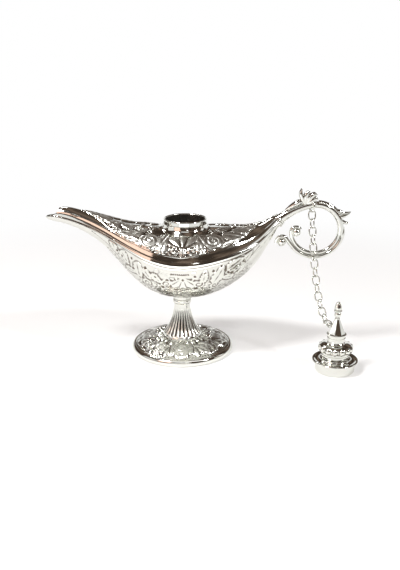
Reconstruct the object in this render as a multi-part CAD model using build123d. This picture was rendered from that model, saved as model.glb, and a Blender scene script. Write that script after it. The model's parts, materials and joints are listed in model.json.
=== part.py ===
# Genie oil lamp: a boat-shaped body of two cast shells on a domed foot, with a pouring spout, a scroll
# handle and a finialled lid that stands beside the lamp on its fine chain.
# Frame: origin on the floor under the middle of the foot, +X towards the handle, -Y towards the viewer
# who sees the spout on the left, +Z up. All sizes are in millimetres.
from math import atan2, cos, radians, sin
import os

from build123d import *

# General
overrun = 3.0                # how far a cut runs past what it cuts
seat_gap = 0.05              # play between the wires of two hooked links

# Body
spout_reach = 82.6           # foot axis to the tip of the lip
tail_reach = 63.0            # foot axis to the untrimmed end of the tail
body_half_width = 29.0
belt_z = 63.1                # lowest point of the seam round the body
spout_rise = 24.1            # the seam climbs this far to the lip
tail_rise = 24.0             # and this far to the tail
bowl_depth = 27.6            # seam to the bottom of the bowl
dome_height = 17.4           # seam to the top of the shoulders
body_wall = 1.5
seam_gap = 0.08
mouth_radius = 7.0           # scoop that opens the spout
mouth_setback = 1.6          # lip tip to the lowest point of the scoop

# Neck
neck_offset = 2.3            # neck axis from the foot axis, towards the handle
neck_bore_radius = 12.2
neck_wall = 1.1
neck_top_z = 85.5
neck_straight = 2.9          # upright part of the collar
neck_flare = 2.9             # how far the skirt of the collar spreads
neck_skirt = 6.0             # height of that skirt

# Foot and stem
foot_radius = 32.5
foot_rim_height = 4.25
foot_dome_height = 9.8
foot_wall = 1.9
stem_root_radius = 11.8
stem_root_z = 11.2
stem_neck_radius = 5.0
stem_bead_radius = 5.9
stem_bead_height = 3.0
stem_collar_height = 1.0     # above the bead
bowl_pad_height = 0.6        # from the stem to the bottom of the bowl
stem_top_z = belt_z - bowl_depth - bowl_pad_height
stem_neck_z = stem_top_z - stem_collar_height - stem_bead_height

# Foot screw, an M4 with a pan head
screw_radius = 2.0
screw_play = 0.2             # clearance hole through the stem
thread_play = 0.03
screw_engagement = 6.5
screw_head_radius = 3.8
screw_head_height = 2.4
screw_recess_radius = 1.3
screw_recess_depth = 1.2
washer_radius = 4.6
washer_thickness = 0.8
ledge_z = 7.6                # seat of the washer under the foot
boss_radius = 5.2
boss_top_gap = 1.2           # metal left above the blind hole

# Handle
handle_heading = 41.0        # climb of the handle where it leaves the tail, in degrees
lead_radius = 43.0           # long bend from the tail to the ring
lead_turn = 30.5
ring_radius = 15.6           # bend of the main rod round the ring
rod_radius = 2.1
root_radius = 3.1
spigot_radius = 2.2
spigot_length = 7.0
spigot_play = 0.05
socket_floor_gap = 0.3       # room past the end of the spigot
knuckle_radius = 0.95        # bead round the joint with the tail
outer_strand_bend = 17.4
inner_strand_bend = 14.9
strand_radius = 1.25
split_angle = -10.0          # place on the ring where the rod ends, in degrees from +X
strand_lead = 15.0           # degrees that the strands start before the rod ends
outer_sweep = 148.0
inner_sweep = 177.0
outer_curl_sweep = 130.0
inner_curl_sweep = 140.0
outer_curl_run = 6.0
outer_curl_radius = 3.6
inner_curl_radius = 3.3
scroll_ball_radius = 2.8
crest_radius = 0.95
crest_start_angle = 86.0
crest_sweep = 58.0
leaf_length = 17.0
leaf_rise = 12.4
leaf_thickness = 4.4
leaf_back_share = 0.82       # share of the leaf that lies ahead of the top of the ring
leaf_sink_share = 0.12       # share of its rise that is sunk in the rod
spur_reach = 8.6
spur_thickness = 3.0
spur_angle = 24.0

# Chain
link_wire_radius = 0.45
link_length = 5.95           # between the wire centres of the two bows
link_width = 4.5
link_count = 14
ring_wire_radius = 0.5
ring_play = 0.85             # room between the rod and the ring round it
lid_ring_width = 4.7
side_load_share = 1.25       # sideways pull on the lid, in weights of one pair of links
lid_bearing = 17.3           # degrees to the right of straight forward that the chain leads

# Lid
plug_radius = 11.9
plug_height = 6.0
plug_wall = 1.2
plug_top = 1.6
cap_flange_radius = 13.8
cap_flange_height = 1.4
cap_dish_depth = 0.5
cap_drum_radius = 8.4
cap_drum_top_z = 12.6
cap_wall = 1.4
lobe_radius = 2.6
lobe_z = 15.0
lobe_circle_radius = 8.1
lobe_count = 14
tower_radius = 5.1
tower_top_z = 22.9
stud_radius = 1.5
stud_depth = 19.4            # finial seat down to the end of its stud
finial_base_radius = 5.9
finial_base_height = 0.9
cone_radius = 4.9
cone_height = 8.7
cone_top_radius = 1.3
finial_ball_radius = 2.1
finial_disc_radius = 2.9
finial_disc_height = 0.9
cone_to_ball = 2.9           # top of the cone to the middle of the ball
ball_to_disc = 1.9
bud_radius = 2.1
bud_height = 5.2
lug_bend = 1.35
lug_wire_radius = 0.45
lug_offset = 5.6             # lid axis to the middle of the lug's hole
lug_height = 3.9             # lug's hole above the finial's seat
lug_turn = 25.0              # degrees that the lug faces away from the chain's plane

# Each row is one section square to X: place, half width, seam height, depth below the seam and height
# above it. Place and seam height are shares of the spout's reach and rise where the place is negative,
# and of the tail's elsewhere; the rest are shares of the half width, the bowl's depth and the dome.
section_shares = [
    (-1.000, 0.062, 0.990, 0.043, 0.060),
    (-0.976, 0.105, 0.998, 0.092, 0.150),
    (-0.938, 0.136, 1.000, 0.125, 0.240),
    (-0.884, 0.163, 0.980, 0.144, 0.325),
    (-0.823, 0.193, 0.934, 0.160, 0.378),
    (-0.738, 0.245, 0.847, 0.196, 0.400),
    (-0.654, 0.317, 0.747, 0.262, 0.432),
    (-0.569, 0.414, 0.630, 0.360, 0.474),
    (-0.472, 0.552, 0.485, 0.560, 0.534),
    (-0.375, 0.703, 0.336, 0.770, 0.625),
    (-0.266, 0.855, 0.174, 0.913, 0.798),
    (-0.133, 0.962, 0.045, 0.980, 0.945),
    (0.000, 1.000, 0.000, 1.000, 1.000),
    (0.175, 0.972, 0.025, 0.998, 0.965),
    (0.349, 0.862, 0.090, 0.940, 0.870),
    (0.492, 0.724, 0.165, 0.842, 0.766),
    (0.635, 0.545, 0.270, 0.688, 0.625),
    (0.762, 0.359, 0.430, 0.490, 0.525),
    (0.857, 0.234, 0.645, 0.310, 0.402),
    (0.937, 0.152, 0.862, 0.178, 0.282),
    (1.000, 0.117, 0.990, 0.123, 0.195),
]
hollow_sections = section_shares[1:-3]
tail_section_shares = section_shares[-2]

# Domed top of the foot: shares of the foot's radius and of the dome's height, from the border inwards.
dome_shares = [(0.911, 0.45), (0.870, 0.52), (0.740, 0.70), (0.560, 0.88), (0.390, 1.00)]
# Flare of the stem: shares of the way from the neck's radius to the root's, and of its height.
flare_shares = [(1.00, 0.00), (0.64, 0.165), (0.40, 0.345), (0.21, 0.52), (0.07, 0.73), (0.00, 0.92)]
# Thumb leaf: shares of its length along the rod and of its rise above the rod's middle.
leaf_shares = [
    (0.00, 0.08), (0.20, 0.42), (0.38, 0.66), (0.44, 1.00), (0.60, 0.66), (0.72, 0.80), (1.00, 0.66),
    (1.02, 0.56), (0.78, 0.50), (0.62, 0.34), (0.60, 0.10),
]
# Spur on the far side of the ring: shares of its reach, outwards and along the ring.
spur_shares = [(0.05, 0.72), (0.30, 0.42), (1.00, 0.16), (0.42, -0.10), (0.62, -0.42), (0.10, -0.60)]
# Handle's root swells towards the tail: place along the lead and share of the way from rod to root.
swell_shares = [(0.00, 1.00), (0.35, 0.50), (0.70, 0.12), (1.00, 0.00)]

os.makedirs("parts", exist_ok=True)


def station(shares):
    """Place of a section along X and the height of the seam there."""
    along, belt = shares[0], shares[2]
    if along < 0:
        return along * spout_reach, belt_z + belt * spout_rise
    return along * tail_reach, belt_z + belt * tail_rise


def body_section(shares, wall):
    """Closed section of the body, drawn in by the wall: quarter ellipses above and below the seam."""
    x, z = station(shares)
    half_width = shares[1] * body_half_width - wall
    below = shares[3] * bowl_depth - wall
    above = shares[4] * dome_height - wall
    arcs = [
        EllipticalCenterArc((0, 0), half_width, height, start_angle=turn, arc_size=90)
        for turn, height in ((0, above), (90, above), (180, below), (270, below))
    ]
    plane = Plane(origin=(x, 0, z), x_dir=(0, 1, 0), z_dir=(1, 0, 0))
    return plane * make_face(Curve(arcs))


def beyond(origin, normal, size):
    """A block that holds everything within reach past a plane."""
    return Plane(origin=origin, z_dir=normal) * Pos(0, 0, size / 2) * Box(size, size, size)


def turned(outline):
    """Solid of revolution about Z from a closed outline of radii and heights."""
    return revolve(Plane.XZ * make_face(Curve(outline)), Axis.Z)


def upright(x, z):
    """A direction or place in the lamp's upright middle plane."""
    return Vector(x, 0, z)


tail_x, tail_seam_z = station(tail_section_shares)
tail_z = tail_seam_z + (tail_section_shares[4] * dome_height - tail_section_shares[3] * bowl_depth) / 2
tail_joint = upright(tail_x, tail_z)
tail_direction = upright(cos(radians(handle_heading)), sin(radians(handle_heading)))


def seam_block():
    """Everything below the seam, as a block across the whole body."""
    line = [Vector(*station(shares)) for shares in section_shares]
    first = line[0] - Vector(overrun, 0)
    last = line[-1] + Vector(overrun, overrun)
    seam = Spline(first, *line, last)
    sides = Polyline(last, (last.X, 0), (first.X, 0), first)
    half = body_half_width + overrun
    return extrude(Plane.XZ * make_face(Curve([seam, sides])), amount=half, both=True)


def neck_collar():
    """Upright collar with a skirt that spreads into the dome."""
    outer = neck_bore_radius + neck_wall
    inner = neck_bore_radius - overrun
    straight_z = neck_top_z - neck_straight
    skirt_z = straight_z - neck_skirt
    flare = Spline(
        (outer, straight_z),
        (outer + neck_flare, skirt_z + neck_skirt / 2),
        (outer + 2 * neck_flare, skirt_z),
        tangents=[(0, -1), (1, -1)],
    )
    lip = ThreePointArc(
        (neck_bore_radius, neck_top_z), (neck_bore_radius + neck_wall / 2, neck_top_z + neck_wall / 4),
        (outer, neck_top_z),
    )
    sides = Polyline(
        (outer + 2 * neck_flare, skirt_z), (inner, skirt_z), (inner, neck_top_z),
        (neck_bore_radius, neck_top_z),
    )
    wall = Polyline((outer, neck_top_z), (outer, straight_z))
    return Pos(neck_offset, 0, 0) * turned([lip, wall, flare, sides])


def body_shells():
    """Lower bowl and upper shell, parted at the seam."""
    outside = loft([body_section(shares, 0) for shares in section_shares])
    hollow = loft([body_section(shares, body_wall) for shares in hollow_sections])
    neck_height = dome_height + neck_top_z - belt_z
    bore = Pos(neck_offset, 0, belt_z) * Cylinder(
        neck_bore_radius, neck_height, align=(Align.CENTER, Align.CENTER, Align.MIN)
    )
    lip_x, lip_z = station(section_shares[0])
    scoop_z = lip_z + mouth_radius
    scoop = Pos(lip_x + mouth_setback, 0, scoop_z) * Rot(90, 0, 0) * Cylinder(
        mouth_radius, body_half_width
    )
    opening = scoop + Pos(lip_x, 0, scoop_z) * Box(2 * mouth_setback, body_half_width, 2 * mouth_radius)
    socket = Plane(origin=tail_joint, z_dir=tail_direction) * Cylinder(
        spigot_radius + spigot_play, 2 * (spigot_length + socket_floor_gap)
    )
    shell = (outside + neck_collar()) - hollow - bore - opening - socket
    shell -= beyond(tail_joint, tail_direction, tail_reach)
    below = seam_block()
    return shell & below, shell - Pos(0, 0, seam_gap) * below


def lower_bowl(shell):
    """Bowl with the pad that stands on the stem and the boss for the foot screw."""
    boss_top_z = stem_top_z + screw_engagement + boss_top_gap
    boss = Pos(0, 0, stem_top_z) * Cylinder(
        boss_radius, boss_top_z - stem_top_z, align=(Align.CENTER, Align.CENTER, Align.MIN)
    )
    hole = Pos(0, 0, stem_top_z) * Cylinder(
        screw_radius + thread_play, 2 * (screw_engagement + boss_top_gap / 2)
    )
    return shell + boss - hole


def foot():
    """Domed disc and flared stem, cast in one and hollow beneath."""
    floor_radius = foot_radius - foot_wall / 2
    lip_radius = foot_radius - foot_rim_height / 3
    rim = ThreePointArc(
        (floor_radius, 0), (foot_radius, foot_rim_height / 2), (lip_radius, foot_rim_height)
    )
    dome = [Vector(r * foot_radius, z * foot_dome_height) for r, z in dome_shares]
    border = Line(rim @ 1, dome[0])
    top = Spline(*dome)
    spread = stem_root_radius - stem_neck_radius
    climb = stem_neck_z - stem_root_z
    flare_points = [
        Vector(stem_neck_radius + r * spread, stem_root_z + z * climb) for r, z in flare_shares
    ]
    root = Polyline(dome[-1], (stem_root_radius, foot_dome_height), flare_points[0])
    flare = Spline(*flare_points)
    neck = Polyline(flare_points[-1], (stem_neck_radius, stem_neck_z))
    bead_top_z = stem_neck_z + stem_bead_height
    bead = ThreePointArc(
        (stem_neck_radius, stem_neck_z), (stem_bead_radius, stem_neck_z + stem_bead_height / 2),
        (stem_neck_radius, bead_top_z),
    )
    bore = screw_radius + screw_play
    seat = Polyline(
        (stem_neck_radius, bead_top_z), (stem_neck_radius, stem_top_z), (bore, stem_top_z),
        (bore, ledge_z), (washer_radius + foot_wall, ledge_z),
    )
    ceiling = [Vector(point.X - foot_wall / 2, point.Y - foot_wall) for point in dome[-2::-1]]
    hollow = Spline(seat @ 1, *ceiling)
    skirt = Polyline(ceiling[-1], (ceiling[-1].X, 0), (floor_radius, 0))
    return turned([rim, border, top, root, flare, neck, bead, seat, hollow, skirt])


def foot_washer():
    """Flat washer under the stem's ledge."""
    centre_z = ledge_z - washer_thickness / 2
    disc = Cylinder(washer_radius, washer_thickness) - Cylinder(screw_radius + screw_play, overrun)
    return Pos(0, 0, centre_z) * disc


def foot_screw():
    """Pan-head screw that draws the bowl down onto the stem."""
    seat_z = ledge_z - washer_thickness
    tip_z = stem_top_z + screw_engagement
    shank = Pos(0, 0, seat_z) * Cylinder(
        screw_radius, tip_z - seat_z, align=(Align.CENTER, Align.CENTER, Align.MIN)
    )
    head = Pos(0, 0, seat_z) * Cylinder(
        screw_head_radius, screw_head_height, align=(Align.CENTER, Align.CENTER, Align.MAX)
    )
    crown = head.faces().sort_by(Axis.Z)[0]
    head = fillet(crown.edges(), screw_head_height / 3)
    recess = Pos(0, 0, seat_z - screw_head_height) * extrude(
        RegularPolygon(screw_recess_radius, 6), amount=screw_recess_depth
    )
    return shank + head - recess


def trail(start, heading, legs):
    """Path of tangent legs in the middle plane: (radius, turn) for a bend, (length, 0) for a straight."""
    place = Vector(start.X, start.Z)
    direction = Vector(cos(radians(heading)), sin(radians(heading)))
    path = []
    for size, turn in legs:
        leg = JernArc(place, direction, size, turn) if turn else Line(place, place + direction * size)
        path.append(leg)
        place = leg @ 1
        direction = leg % 1
    return Plane.XZ * Curve(path)


def tube(path, radius):
    """Round rod along a path."""
    wire = Wire(path.edges())
    return sweep(Plane(origin=wire @ 0, z_dir=wire % 0) * Circle(radius), path=wire)


def blade(shares, origin, along, out, size_along, size_out, thickness):
    """Flat leaf whose outline is given in shares along and away from its root."""
    points = [origin + along * (a * size_along) + out * (b * size_out) for a, b in shares]
    flat = Polyline(*[(p.X, p.Z) for p in points], close=True)
    return extrude(Plane.XZ * make_face(flat), amount=thickness / 2, both=True)


ring_heading = handle_heading - lead_turn
lead = trail(tail_joint, handle_heading, [(lead_radius, -lead_turn)])
ring_top = lead.edge() @ 1
ring_centre = ring_top + upright(sin(radians(ring_heading)), -cos(radians(ring_heading))) * ring_radius


def on_ring(radius, angle):
    """Point of the ring at an angle from +X, seen with +X to the right."""
    return ring_centre + upright(cos(radians(angle)), sin(radians(angle))) * radius


def handle_scroll():
    """Rod that leaves the tail, rounds the ring and parts into two strands that end in curls and balls."""
    start_angle = 90 + ring_heading
    wire = lead.edge()
    sections = [
        Plane(origin=wire @ t, x_dir=(0, 1, 0), z_dir=wire % t)
        * Circle(rod_radius + swell * (root_radius - rod_radius))
        for t, swell in swell_shares
    ]
    rod = trail(ring_top, ring_heading, [(ring_radius, split_angle - start_angle)])
    spigot = Plane(origin=tail_joint, z_dir=-tail_direction) * Cylinder(
        spigot_radius, spigot_length, align=(Align.CENTER, Align.CENTER, Align.MIN)
    )
    knuckle = Plane(origin=tail_joint + tail_direction * knuckle_radius, z_dir=tail_direction) * Torus(
        root_radius, knuckle_radius
    )
    strand_angle = split_angle + strand_lead
    outer_start = on_ring(outer_strand_bend, strand_angle)
    inner_start = on_ring(inner_strand_bend, strand_angle)
    outer_legs = [
        (outer_strand_bend, -outer_sweep), (outer_curl_run, 0), (outer_curl_radius, outer_curl_sweep)
    ]
    inner_legs = [(inner_strand_bend, -inner_sweep), (inner_curl_radius, -inner_curl_sweep)]
    outer = trail(outer_start, strand_angle - 90, outer_legs)
    inner = trail(inner_start, strand_angle - 90, inner_legs)
    scroll = tube(rod, rod_radius) + tube(outer, strand_radius) + tube(inner, strand_radius)
    solid = loft(sections) + scroll + spigot + knuckle
    for path in (outer, inner):
        solid += Pos(path.edges()[-1].arc_center) * Sphere(scroll_ball_radius)
    crest_bend = ring_radius + rod_radius - crest_radius / 4
    crest_start = on_ring(crest_bend, crest_start_angle)
    crest = trail(crest_start, crest_start_angle - 90, [(crest_bend, -crest_sweep)])
    solid += tube(crest, crest_radius)
    leaf_start = ring_top - upright(cos(radians(ring_heading)), 0) * leaf_length * leaf_back_share
    leaf_base = upright(leaf_start.X, ring_top.Z - leaf_rise * leaf_sink_share)
    solid += blade(
        leaf_shares, leaf_base, upright(1, 0), upright(0, 1), leaf_length, leaf_rise, leaf_thickness
    )
    out = upright(cos(radians(spur_angle)), sin(radians(spur_angle)))
    solid += blade(
        spur_shares, on_ring(ring_radius, spur_angle), out, upright(-out.Z, out.X), spur_reach,
        spur_reach, spur_thickness,
    )
    return solid


# Chain. It hangs in one upright plane, and each pair of links leans a little more than the pair above.
ahead = Vector(sin(radians(lid_bearing)), -cos(radians(lid_bearing)), 0)
across = Vector(cos(radians(lid_bearing)), sin(radians(lid_bearing)), 0)
up = Vector(0, 0, 1)
ring_inner = rod_radius + ring_play
ring_hang = ring_inner - rod_radius - seat_gap
ring_drop = ring_hang + ring_inner + ring_wire_radius
hook_play = ring_wire_radius + link_wire_radius + seat_gap
link_hook = 2 * link_wire_radius + seat_gap
link_pitch = link_length - link_hook
first_pitch = link_length - hook_play
lid_ring_pitch = lid_ring_width - link_hook
pair_count = link_count // 2 + 1
lug_z = tower_top_z + lug_height


def slants(top_load):
    """Lean of each pair from upright: sideways pull against the weight that still hangs below it."""
    return [atan2(side_load_share, top_load - pair) for pair in range(pair_count)]


def pair_lengths():
    """Reach of each pair of pieces that leans as one, from the rod to the lug."""
    first = ring_drop + first_pitch
    last = link_pitch + lid_ring_pitch
    return [first] + [2 * link_pitch] * (pair_count - 2) + [last]


def drop_of(top_load):
    """How far the chain comes down for that load at its top."""
    return sum(length * cos(lean) for length, lean in zip(pair_lengths(), slants(top_load)))


def settled_load():
    """Load at the top for which the lid just stands on the floor."""
    low, high = 0.0, 1000.0 * link_count
    for _ in range(80):
        middle = (low + high) / 2
        if drop_of(middle) < ring_top.Z - lug_z:
            low = middle
        else:
            high = middle
    return high


def lean_down(lean):
    """Unit vector down the chain at that lean."""
    return ahead * sin(lean) - up * cos(lean)


leans = slants(settled_load())


def chain_pieces():
    """Name, pivot, lean and hinge line of each piece of the chain, from the rod down to the lid."""
    pieces = [("handle_ring", ring_top, leans[0], across)]
    pivot = ring_top + lean_down(leans[0]) * ring_drop
    for index in range(1, link_count + 2):
        lean = leans[index // 2]
        facing = index % 2 == 1
        hinge = across.cross(lean_down(lean)) if facing else across
        name = f"chain_link_{index:02d}" if index <= link_count else "lid_ring"
        pieces.append((name, pivot, lean, hinge))
        step = lid_ring_pitch if index > link_count else (first_pitch if index == 1 else link_pitch)
        pivot = pivot + lean_down(lean) * step
    pieces.append(("lid", pivot, 0.0, across))
    return pieces


def link():
    """One oval link, long way along Y, flat in XY, its middle at the origin."""
    bend = link_width / 2
    straight = link_length / 2 - bend
    bow = Pos(0, straight, 0) * Torus(bend, link_wire_radius, major_angle=180, align=None)
    side = Pos(bend, 0, 0) * Rot(90, 0, 0) * Cylinder(link_wire_radius, 2 * straight)
    half = bow + side
    return half + Rot(0, 0, 180) * half


def hung(solid, pivot, lean, facing, reach):
    """A flat piece moved so that it hangs from a pivot, its middle that far down the chain."""
    down = lean_down(lean)
    wide = across if facing else across.cross(down)
    place = Plane(origin=pivot + down * reach, x_dir=wide, z_dir=wide.cross(-down))
    return place * solid


lug_place = chain_pieces()[-1][1]
lug_angle = radians(90 + lid_bearing + lug_turn)
lug_direction = Vector(cos(lug_angle), sin(lug_angle), 0)
lid_axis = lug_place - lug_direction * lug_offset - up * lug_z


def lid_plug():
    """Cup that fits the neck, with a boss for the finial's stud."""
    cup = Cylinder(plug_radius, plug_height, align=(Align.CENTER, Align.CENTER, Align.MIN))
    cup = chamfer(cup.faces().sort_by(Axis.Z)[0].edges(), plug_wall / 2)
    hollow = Cylinder(
        plug_radius - plug_wall, plug_height - plug_top, align=(Align.CENTER, Align.CENTER, Align.MIN)
    )
    boss = Pos(0, 0, plug_height) * Cylinder(
        2 * stud_radius, tower_top_z - stud_depth, align=(Align.CENTER, Align.CENTER, Align.MAX)
    )
    hole = Cylinder(stud_radius + thread_play, 3 * plug_height)
    return cup - hollow + boss - hole


def lid_cap():
    """Dished flange, drum, lobed gallery and tower, hollow inside."""
    flange_z = plug_height + cap_flange_height
    dish_z = flange_z - cap_dish_depth
    lobe_top_z = lobe_z + lobe_radius / 2
    shape = Polyline(
        (stud_radius + screw_play, tower_top_z), (tower_radius, tower_top_z), (tower_radius, lobe_top_z),
        (lobe_circle_radius, lobe_top_z), (lobe_circle_radius, cap_drum_top_z),
        (cap_drum_radius, cap_drum_top_z), (cap_drum_radius, dish_z),
        (cap_flange_radius - cap_wall, dish_z), (cap_flange_radius - cap_wall / 2, flange_z),
        (cap_flange_radius, flange_z - cap_dish_depth), (cap_flange_radius, plug_height),
        (cap_drum_radius - cap_wall, plug_height), (cap_drum_radius - cap_wall, cap_drum_top_z),
        (tower_radius - cap_wall, lobe_top_z - cap_wall),
        (tower_radius - cap_wall, tower_top_z - cap_wall),
        (stud_radius + screw_play, tower_top_z - cap_wall), (stud_radius + screw_play, tower_top_z),
    )
    cap = turned([shape])
    for lobe in PolarLocations(lobe_circle_radius, lobe_count):
        cap += Pos(0, 0, lobe_z) * lobe * Sphere(lobe_radius)
    hollow = Pos(0, 0, plug_height) * Cylinder(
        cap_drum_radius - cap_wall, lobe_z - plug_height, align=(Align.CENTER, Align.CENTER, Align.MIN)
    )
    return cap - hollow


def lid_finial():
    """Cone, ball, disc and bud on a stud, with the lug that holds the chain."""
    base_z = tower_top_z + finial_base_height
    cone_z = base_z + cone_height
    ball_z = cone_z + cone_to_ball
    disc_z = ball_z + ball_to_disc
    bud_z = disc_z + finial_disc_height
    shape = Polyline(
        (0, tower_top_z - stud_depth), (stud_radius, tower_top_z - stud_depth),
        (stud_radius, tower_top_z), (finial_base_radius, tower_top_z), (finial_base_radius, base_z),
        (cone_radius, base_z), (cone_top_radius, cone_z), (cone_top_radius, disc_z),
        (finial_disc_radius, disc_z), (finial_disc_radius, bud_z),
        (bud_radius / 2, bud_z),
    )
    bud = Spline(
        (bud_radius / 2, bud_z), (bud_radius, bud_z + bud_height / 3),
        (bud_radius / 2, bud_z + bud_height * 2 / 3), (0, bud_z + bud_height),
    )
    axis = Line((0, bud_z + bud_height), (0, tower_top_z - stud_depth))
    finial = turned([shape, bud, axis]) + Pos(0, 0, ball_z) * Sphere(finial_ball_radius)
    return finial


def lid_lug():
    """Upright eye on the side of the cone."""
    tangent = up.cross(lug_direction)
    return Plane(origin=lug_place, x_dir=lug_direction, z_dir=tangent) * Torus(lug_bend, lug_wire_radius)


def save(name, solid):
    """Write one node."""
    solid.label = name
    export_step(solid, f"parts/{name}.step")


bowl_shell, top_shell = body_shells()
save("lower_bowl", lower_bowl(bowl_shell))
save("upper_shell", top_shell)
save("foot", foot())
save("foot_washer", foot_washer())
save("foot_screw", foot_screw())
save("handle_scroll", handle_scroll())

for index, (name, pivot, lean, hinge) in enumerate(chain_pieces()[:-1]):
    if name == "handle_ring":
        wire_ring = Torus(ring_inner + ring_wire_radius, ring_wire_radius)
        save(name, hung(wire_ring, pivot, lean, False, ring_hang))
    elif name == "lid_ring":
        wire_ring = Torus(lid_ring_width / 2, link_wire_radius)
        save(name, hung(wire_ring, pivot, lean, True, lid_ring_width / 2 - link_hook))
    else:
        hook = hook_play if index == 1 else link_hook
        save(name, hung(link(), pivot, lean, index % 2 == 1, link_length / 2 - hook))

stand = Pos(lid_axis.X, lid_axis.Y, lid_axis.Z)
save("lid_plug", stand * lid_plug())
save("lid_cap", stand * lid_cap())
save("lid_finial", stand * lid_finial() + lid_lug())
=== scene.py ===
import json
import math

import bmesh
import bpy
import numpy as np
from mathutils import Matrix, Vector

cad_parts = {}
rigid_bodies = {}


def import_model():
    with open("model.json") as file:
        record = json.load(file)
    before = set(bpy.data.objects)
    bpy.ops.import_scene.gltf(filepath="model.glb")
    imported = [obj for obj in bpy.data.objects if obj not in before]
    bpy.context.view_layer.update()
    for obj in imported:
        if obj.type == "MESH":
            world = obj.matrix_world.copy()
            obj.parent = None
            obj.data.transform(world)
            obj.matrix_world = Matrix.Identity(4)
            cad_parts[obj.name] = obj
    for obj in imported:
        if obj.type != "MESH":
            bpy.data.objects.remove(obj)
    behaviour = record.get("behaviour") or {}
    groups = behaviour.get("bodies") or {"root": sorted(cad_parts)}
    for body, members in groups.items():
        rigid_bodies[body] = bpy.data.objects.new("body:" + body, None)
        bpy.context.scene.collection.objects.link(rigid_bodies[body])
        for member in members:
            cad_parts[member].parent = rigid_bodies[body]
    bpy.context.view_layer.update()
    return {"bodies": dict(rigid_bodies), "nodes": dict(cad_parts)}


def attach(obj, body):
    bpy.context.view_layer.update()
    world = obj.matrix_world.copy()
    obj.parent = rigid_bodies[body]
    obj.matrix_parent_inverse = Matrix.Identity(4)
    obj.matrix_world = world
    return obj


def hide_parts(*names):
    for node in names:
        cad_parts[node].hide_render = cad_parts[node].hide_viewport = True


bl_info = {
    "name": "Genie oil lamp",
    "version": (1, 0, 0),
    "blender": (4, 5, 0),
    "location": "3D View > Sidebar > Oil lamp",
    "description": "Dresses the plated oil lamp: embossed body, fluted foot, scroll handle, chain and lid",
    "category": "Add Mesh",
}

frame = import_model()

# Forms are drawn in millimetres and made in metres. The stage and the property groups are in metres.
MM = 0.001
WELD = 1e-4 * MM

# Body: reach of spout and tail along X, half width, height of the seam, its rise at both ends, depth and height.
SPOUT, TAIL, HALF, BELT, SPOUT_RISE, TAIL_RISE, DEPTH, DOME = 82.6, 63.0, 29.0, 63.1, 24.1, 24.0, 27.6, 17.4
# Shares of those sizes: place along X, half width, rise of the seam, depth below it, height above it.
SECTION_SHARES = [
    (-1.000, 0.062, 0.990, 0.043, 0.060),
    (-0.976, 0.105, 0.998, 0.092, 0.150),
    (-0.938, 0.136, 1.000, 0.125, 0.240),
    (-0.884, 0.163, 0.980, 0.144, 0.325),
    (-0.823, 0.193, 0.934, 0.160, 0.378),
    (-0.738, 0.245, 0.847, 0.196, 0.400),
    (-0.654, 0.317, 0.747, 0.262, 0.432),
    (-0.569, 0.414, 0.630, 0.360, 0.474),
    (-0.472, 0.552, 0.485, 0.560, 0.534),
    (-0.375, 0.703, 0.336, 0.770, 0.625),
    (-0.266, 0.855, 0.174, 0.913, 0.798),
    (-0.133, 0.962, 0.045, 0.980, 0.945),
    (0.000, 1.000, 0.000, 1.000, 1.000),
    (0.175, 0.972, 0.025, 0.998, 0.965),
    (0.349, 0.862, 0.090, 0.940, 0.870),
    (0.492, 0.724, 0.165, 0.842, 0.766),
    (0.635, 0.545, 0.270, 0.688, 0.625),
    (0.762, 0.359, 0.430, 0.490, 0.525),
    (0.857, 0.234, 0.645, 0.310, 0.402),
    (0.937, 0.152, 0.862, 0.178, 0.282),
    (1.000, 0.117, 0.990, 0.123, 0.195),
]
SECTIONS = np.array([
    (
        along * (SPOUT if along < 0 else TAIL),
        width * HALF,
        BELT + seam * (SPOUT_RISE if along < 0 else TAIL_RISE),
        below * DEPTH,
        above * DOME,
    )
    for along, width, seam, below, above in SECTION_SHARES
])
# The open notch of the spout: where its floor ends, the floor's height, the round end's radius, where it is over.
NOTCH_X, NOTCH_FLOOR, NOTCH_RADIUS, NOTCH_END = -81.0, 86.96, 7.0, -74.0
# The cut on which the handle's root sits square.
TAIL_PLACE = np.array([59.03, 0.0, 83.79])
HEADING = math.radians(41.0)
# Wall at the spout's lip, and the place along X from which the wall is full.
LIP_WALL, FULL_WALL_X = 0.4, -76.0
SEAM_GAP = 0.08
# Neck: place along X, radius of the bore, wall and radius of the plain floor round it.
NECK_X, NECK_BORE, NECK_WALL, NECK_FLOOR = 2.3, 12.2, 1.1, 17.5
# Foot: radius at the rim and height of its dome; stem: radius at the waist, height and depth of its flare.
FOOT_RADIUS, DOME_HEIGHT, WAIST, FLARE_FOOT, FLARE_WIDTH, FLARE_HEIGHT = 32.5, 9.8, 5.0, 11.2, 6.8, 19.7
# Handle: radius of the bend that leads to the ring, the ring's centre and radius, and the angle where they meet.
BEND_RADIUS, RING_RADIUS, RING_START = 43.0, 15.6, 100.5
RING_CENTRE = np.array([82.248, 0.0, 78.274])
# Middle of the lid's underside, middle of its lug and the lug's heading in degrees.
LID_PLACE = np.array([92.495, -34.067, 0.0])
LUG_PLACE = np.array([88.726, -29.925, 26.8])
LUG_HEADING = 132.3
# Angle up the shell, at places along X, at which the plain band over the seam ends and the ornament starts.
BORDER = np.array([
    (-62, 88), (-56, 70), (-50, 58), (-43, 40), (-36, 30), (-25, 25), (-17, 22), (0, 18.5), (17, 22.5), (26, 28),
    (33, 37), (39, 48), (44, 62), (49, 88), (60, 90),
])
Y_AXIS, Z_AXIS = np.eye(3)[1:]
TINY = 1e-6

# Camera of the photograph.
CAMERA_PLACE, CAMERA_TILT, CAMERA_LENS, CAMERA_SENSOR = (0.01138, -0.41632, 0.18031), 0.32, 43.84, 36.0
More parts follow.
